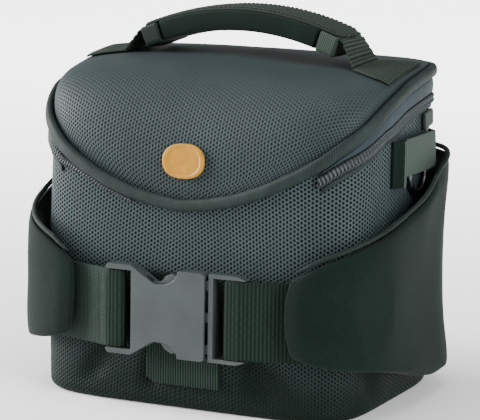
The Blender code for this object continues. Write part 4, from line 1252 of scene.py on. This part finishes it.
def ringLine():
    half = dRing["halfWidth"] - dRing["wire"]
    corner = dRing["corner"]
    bend = [(half - corner + corner * math.sin(a), -corner + corner * math.cos(a))
            for a in (0.5, 1.0, 1.57)]
    bow = [(half * math.cos(math.pi * k / 20), -dRing["straight"] - half * math.sin(math.pi * k / 20))
           for k in range(1, 20)]
    line = [(-half + corner, 0.0), (half - corner, 0.0)] + bend + [(half, -dRing["straight"])] + bow
    line += [(-half, -dRing["straight"])] + [(-x, h) for x, h in bend[::-1]]
    return [Vector(p) for p in line]


def makeRing(side, word):
    line = ringLine()
    loop = line + [line[0]]
    length = pathLength(loop)
    centre = dRing["share"] * halfGirth
    out = bag["fitGap"] + tab["lift"] / 2

    def place(u, v):
        point, run = pathPoint(loop, length * (v % 1.0))
        a, b = oval(u, dRing["wire"], dRing["wire"])
        p = point + Vector((run.y, -run.x)) * a
        return wallPoint(side * (centre + p.x) / halfGirth, dRing["height"] + p.y, out + b)

    bm = clothGrid(12, 160, place, (0.01, length), ring=True)
    addPiece("dRing" + word, bm, ringMetal, ["d_ring_" + word.lower()])


for side, word in ((-1, "Left"), (1, "Right")):
    makeTab(side, word)
    makeRing(side, word)
dressHard("backPlate", "back_plate", acetal, 0.0010, 3, 40)
print("scene: tabs, rings and back plate made")


# Studio

studio = {"azimuth": 27.0, "elevation": 10.6, "distance": 1.5, "pixelsPerMm": 1.59,
          "middle": (238.4, 227.3), "picture": (480, 420), "aim": (0, 0, 0.1),
          "world": 0.52, "floor": 4.0, "glow": 4.0, "glowFrom": -0.1, "glowFull": 1.6}
# soft lights: name, place, size, power
softLights = (("softLeft", (-1.5, -0.35, 0.65), (1.0, 1.0), 80.0),
              ("softRight", (1.4, -0.6, 0.55), (0.7, 1.0), 32.0),
              ("softTop", (0.0, -0.2, 1.5), (1.2, 1.0), 12.0))


def makeCamera():
    az, el = math.radians(studio["azimuth"]), math.radians(studio["elevation"])
    back = Vector((math.sin(az) * math.cos(el), -math.cos(az) * math.cos(el), math.sin(el)))
    data = bpy.data.cameras.new("camera")
    width, height = studio["picture"]
    data.sensor_width = 36
    data.lens = data.sensor_width * studio["pixelsPerMm"] * studio["distance"] * 1000 / width
    data.shift_x = (width / 2 - studio["middle"][0]) / width
    data.shift_y = (studio["middle"][1] - height / 2) / width
    camera = bpy.data.objects.new("camera", data)
    bpy.context.scene.collection.objects.link(camera)
    camera.rotation_mode = "QUATERNION"
    camera.rotation_quaternion = back.to_track_quat("Z", "Y")
    camera.location = Vector(studio["aim"]) + back * studio["distance"]
    data.clip_start = 0.05
    bpy.context.scene.camera = camera


def addLight(name, place, size, power):
    data = bpy.data.lights.new(name, "AREA")
    data.shape = "RECTANGLE"
    data.size, data.size_y = size
    data.energy = power
    light = bpy.data.objects.new(name, data)
    light.location = place
    light.rotation_mode = "QUATERNION"
    light.rotation_quaternion = (Vector(place) - Vector(studio["aim"])).to_track_quat("Z", "Y")
    bpy.context.scene.collection.objects.link(light)


def makeFloor():
    # pale paper that glows, brighter further behind the bag: painted light, with no lamp beneath
    bm = bmesh.new()
    bmesh.ops.create_grid(bm, x_segments=1, y_segments=1, size=studio["floor"])
    mesh = bpy.data.meshes.new("floor")
    bm.to_mesh(mesh)
    bm.free()
    material, tree, shader = newMaterial("floorPaper", 0.9, 1.45)
    place = addNode(tree, "TexCoord").outputs["Object"]
    cloud = addNode(tree, "TexNoise", {"Vector": place, "Scale": 3.0, "Detail": 2.0})
    colour = addNode(tree, "ValToRGB", {0: cloud.outputs[0]}, ((0.3, "F4F4F4"), (0.7, "F8F8F8")))
    depth = addNode(tree, "SeparateXYZ", {0: place}).outputs[1]
    # painted light: the floor's own glow, rising towards the back
    glow = addNode(tree, "MapRange", {"Value": depth, "From Min": studio["glowFrom"],
                                      "From Max": studio["glowFull"], "To Max": studio["glow"]},
                   interpolation_type="SMOOTHSTEP")
    shader.inputs["Emission Color"].default_value = (1.0, 1.0, 1.0, 1.0)
    linkShader(tree, shader, {"Base Color": colour.outputs[0], "Emission Strength": glow.outputs[0]})
    mesh.materials.append(material)
    floorPiece = bpy.data.objects.new("floor", mesh)
    bpy.context.scene.collection.objects.link(floorPiece)


makeCamera()
makeFloor()
world = bpy.data.worlds.new("studio")
bpy.context.scene.world = world
world.use_nodes = True
sky = world.node_tree.nodes["Background"].inputs
sky["Color"].default_value = (1.0, 1.0, 1.0, 1.0)
sky["Strength"].default_value = studio["world"]
for light in softLights:
    addLight(*light)
print("scene: studio made")
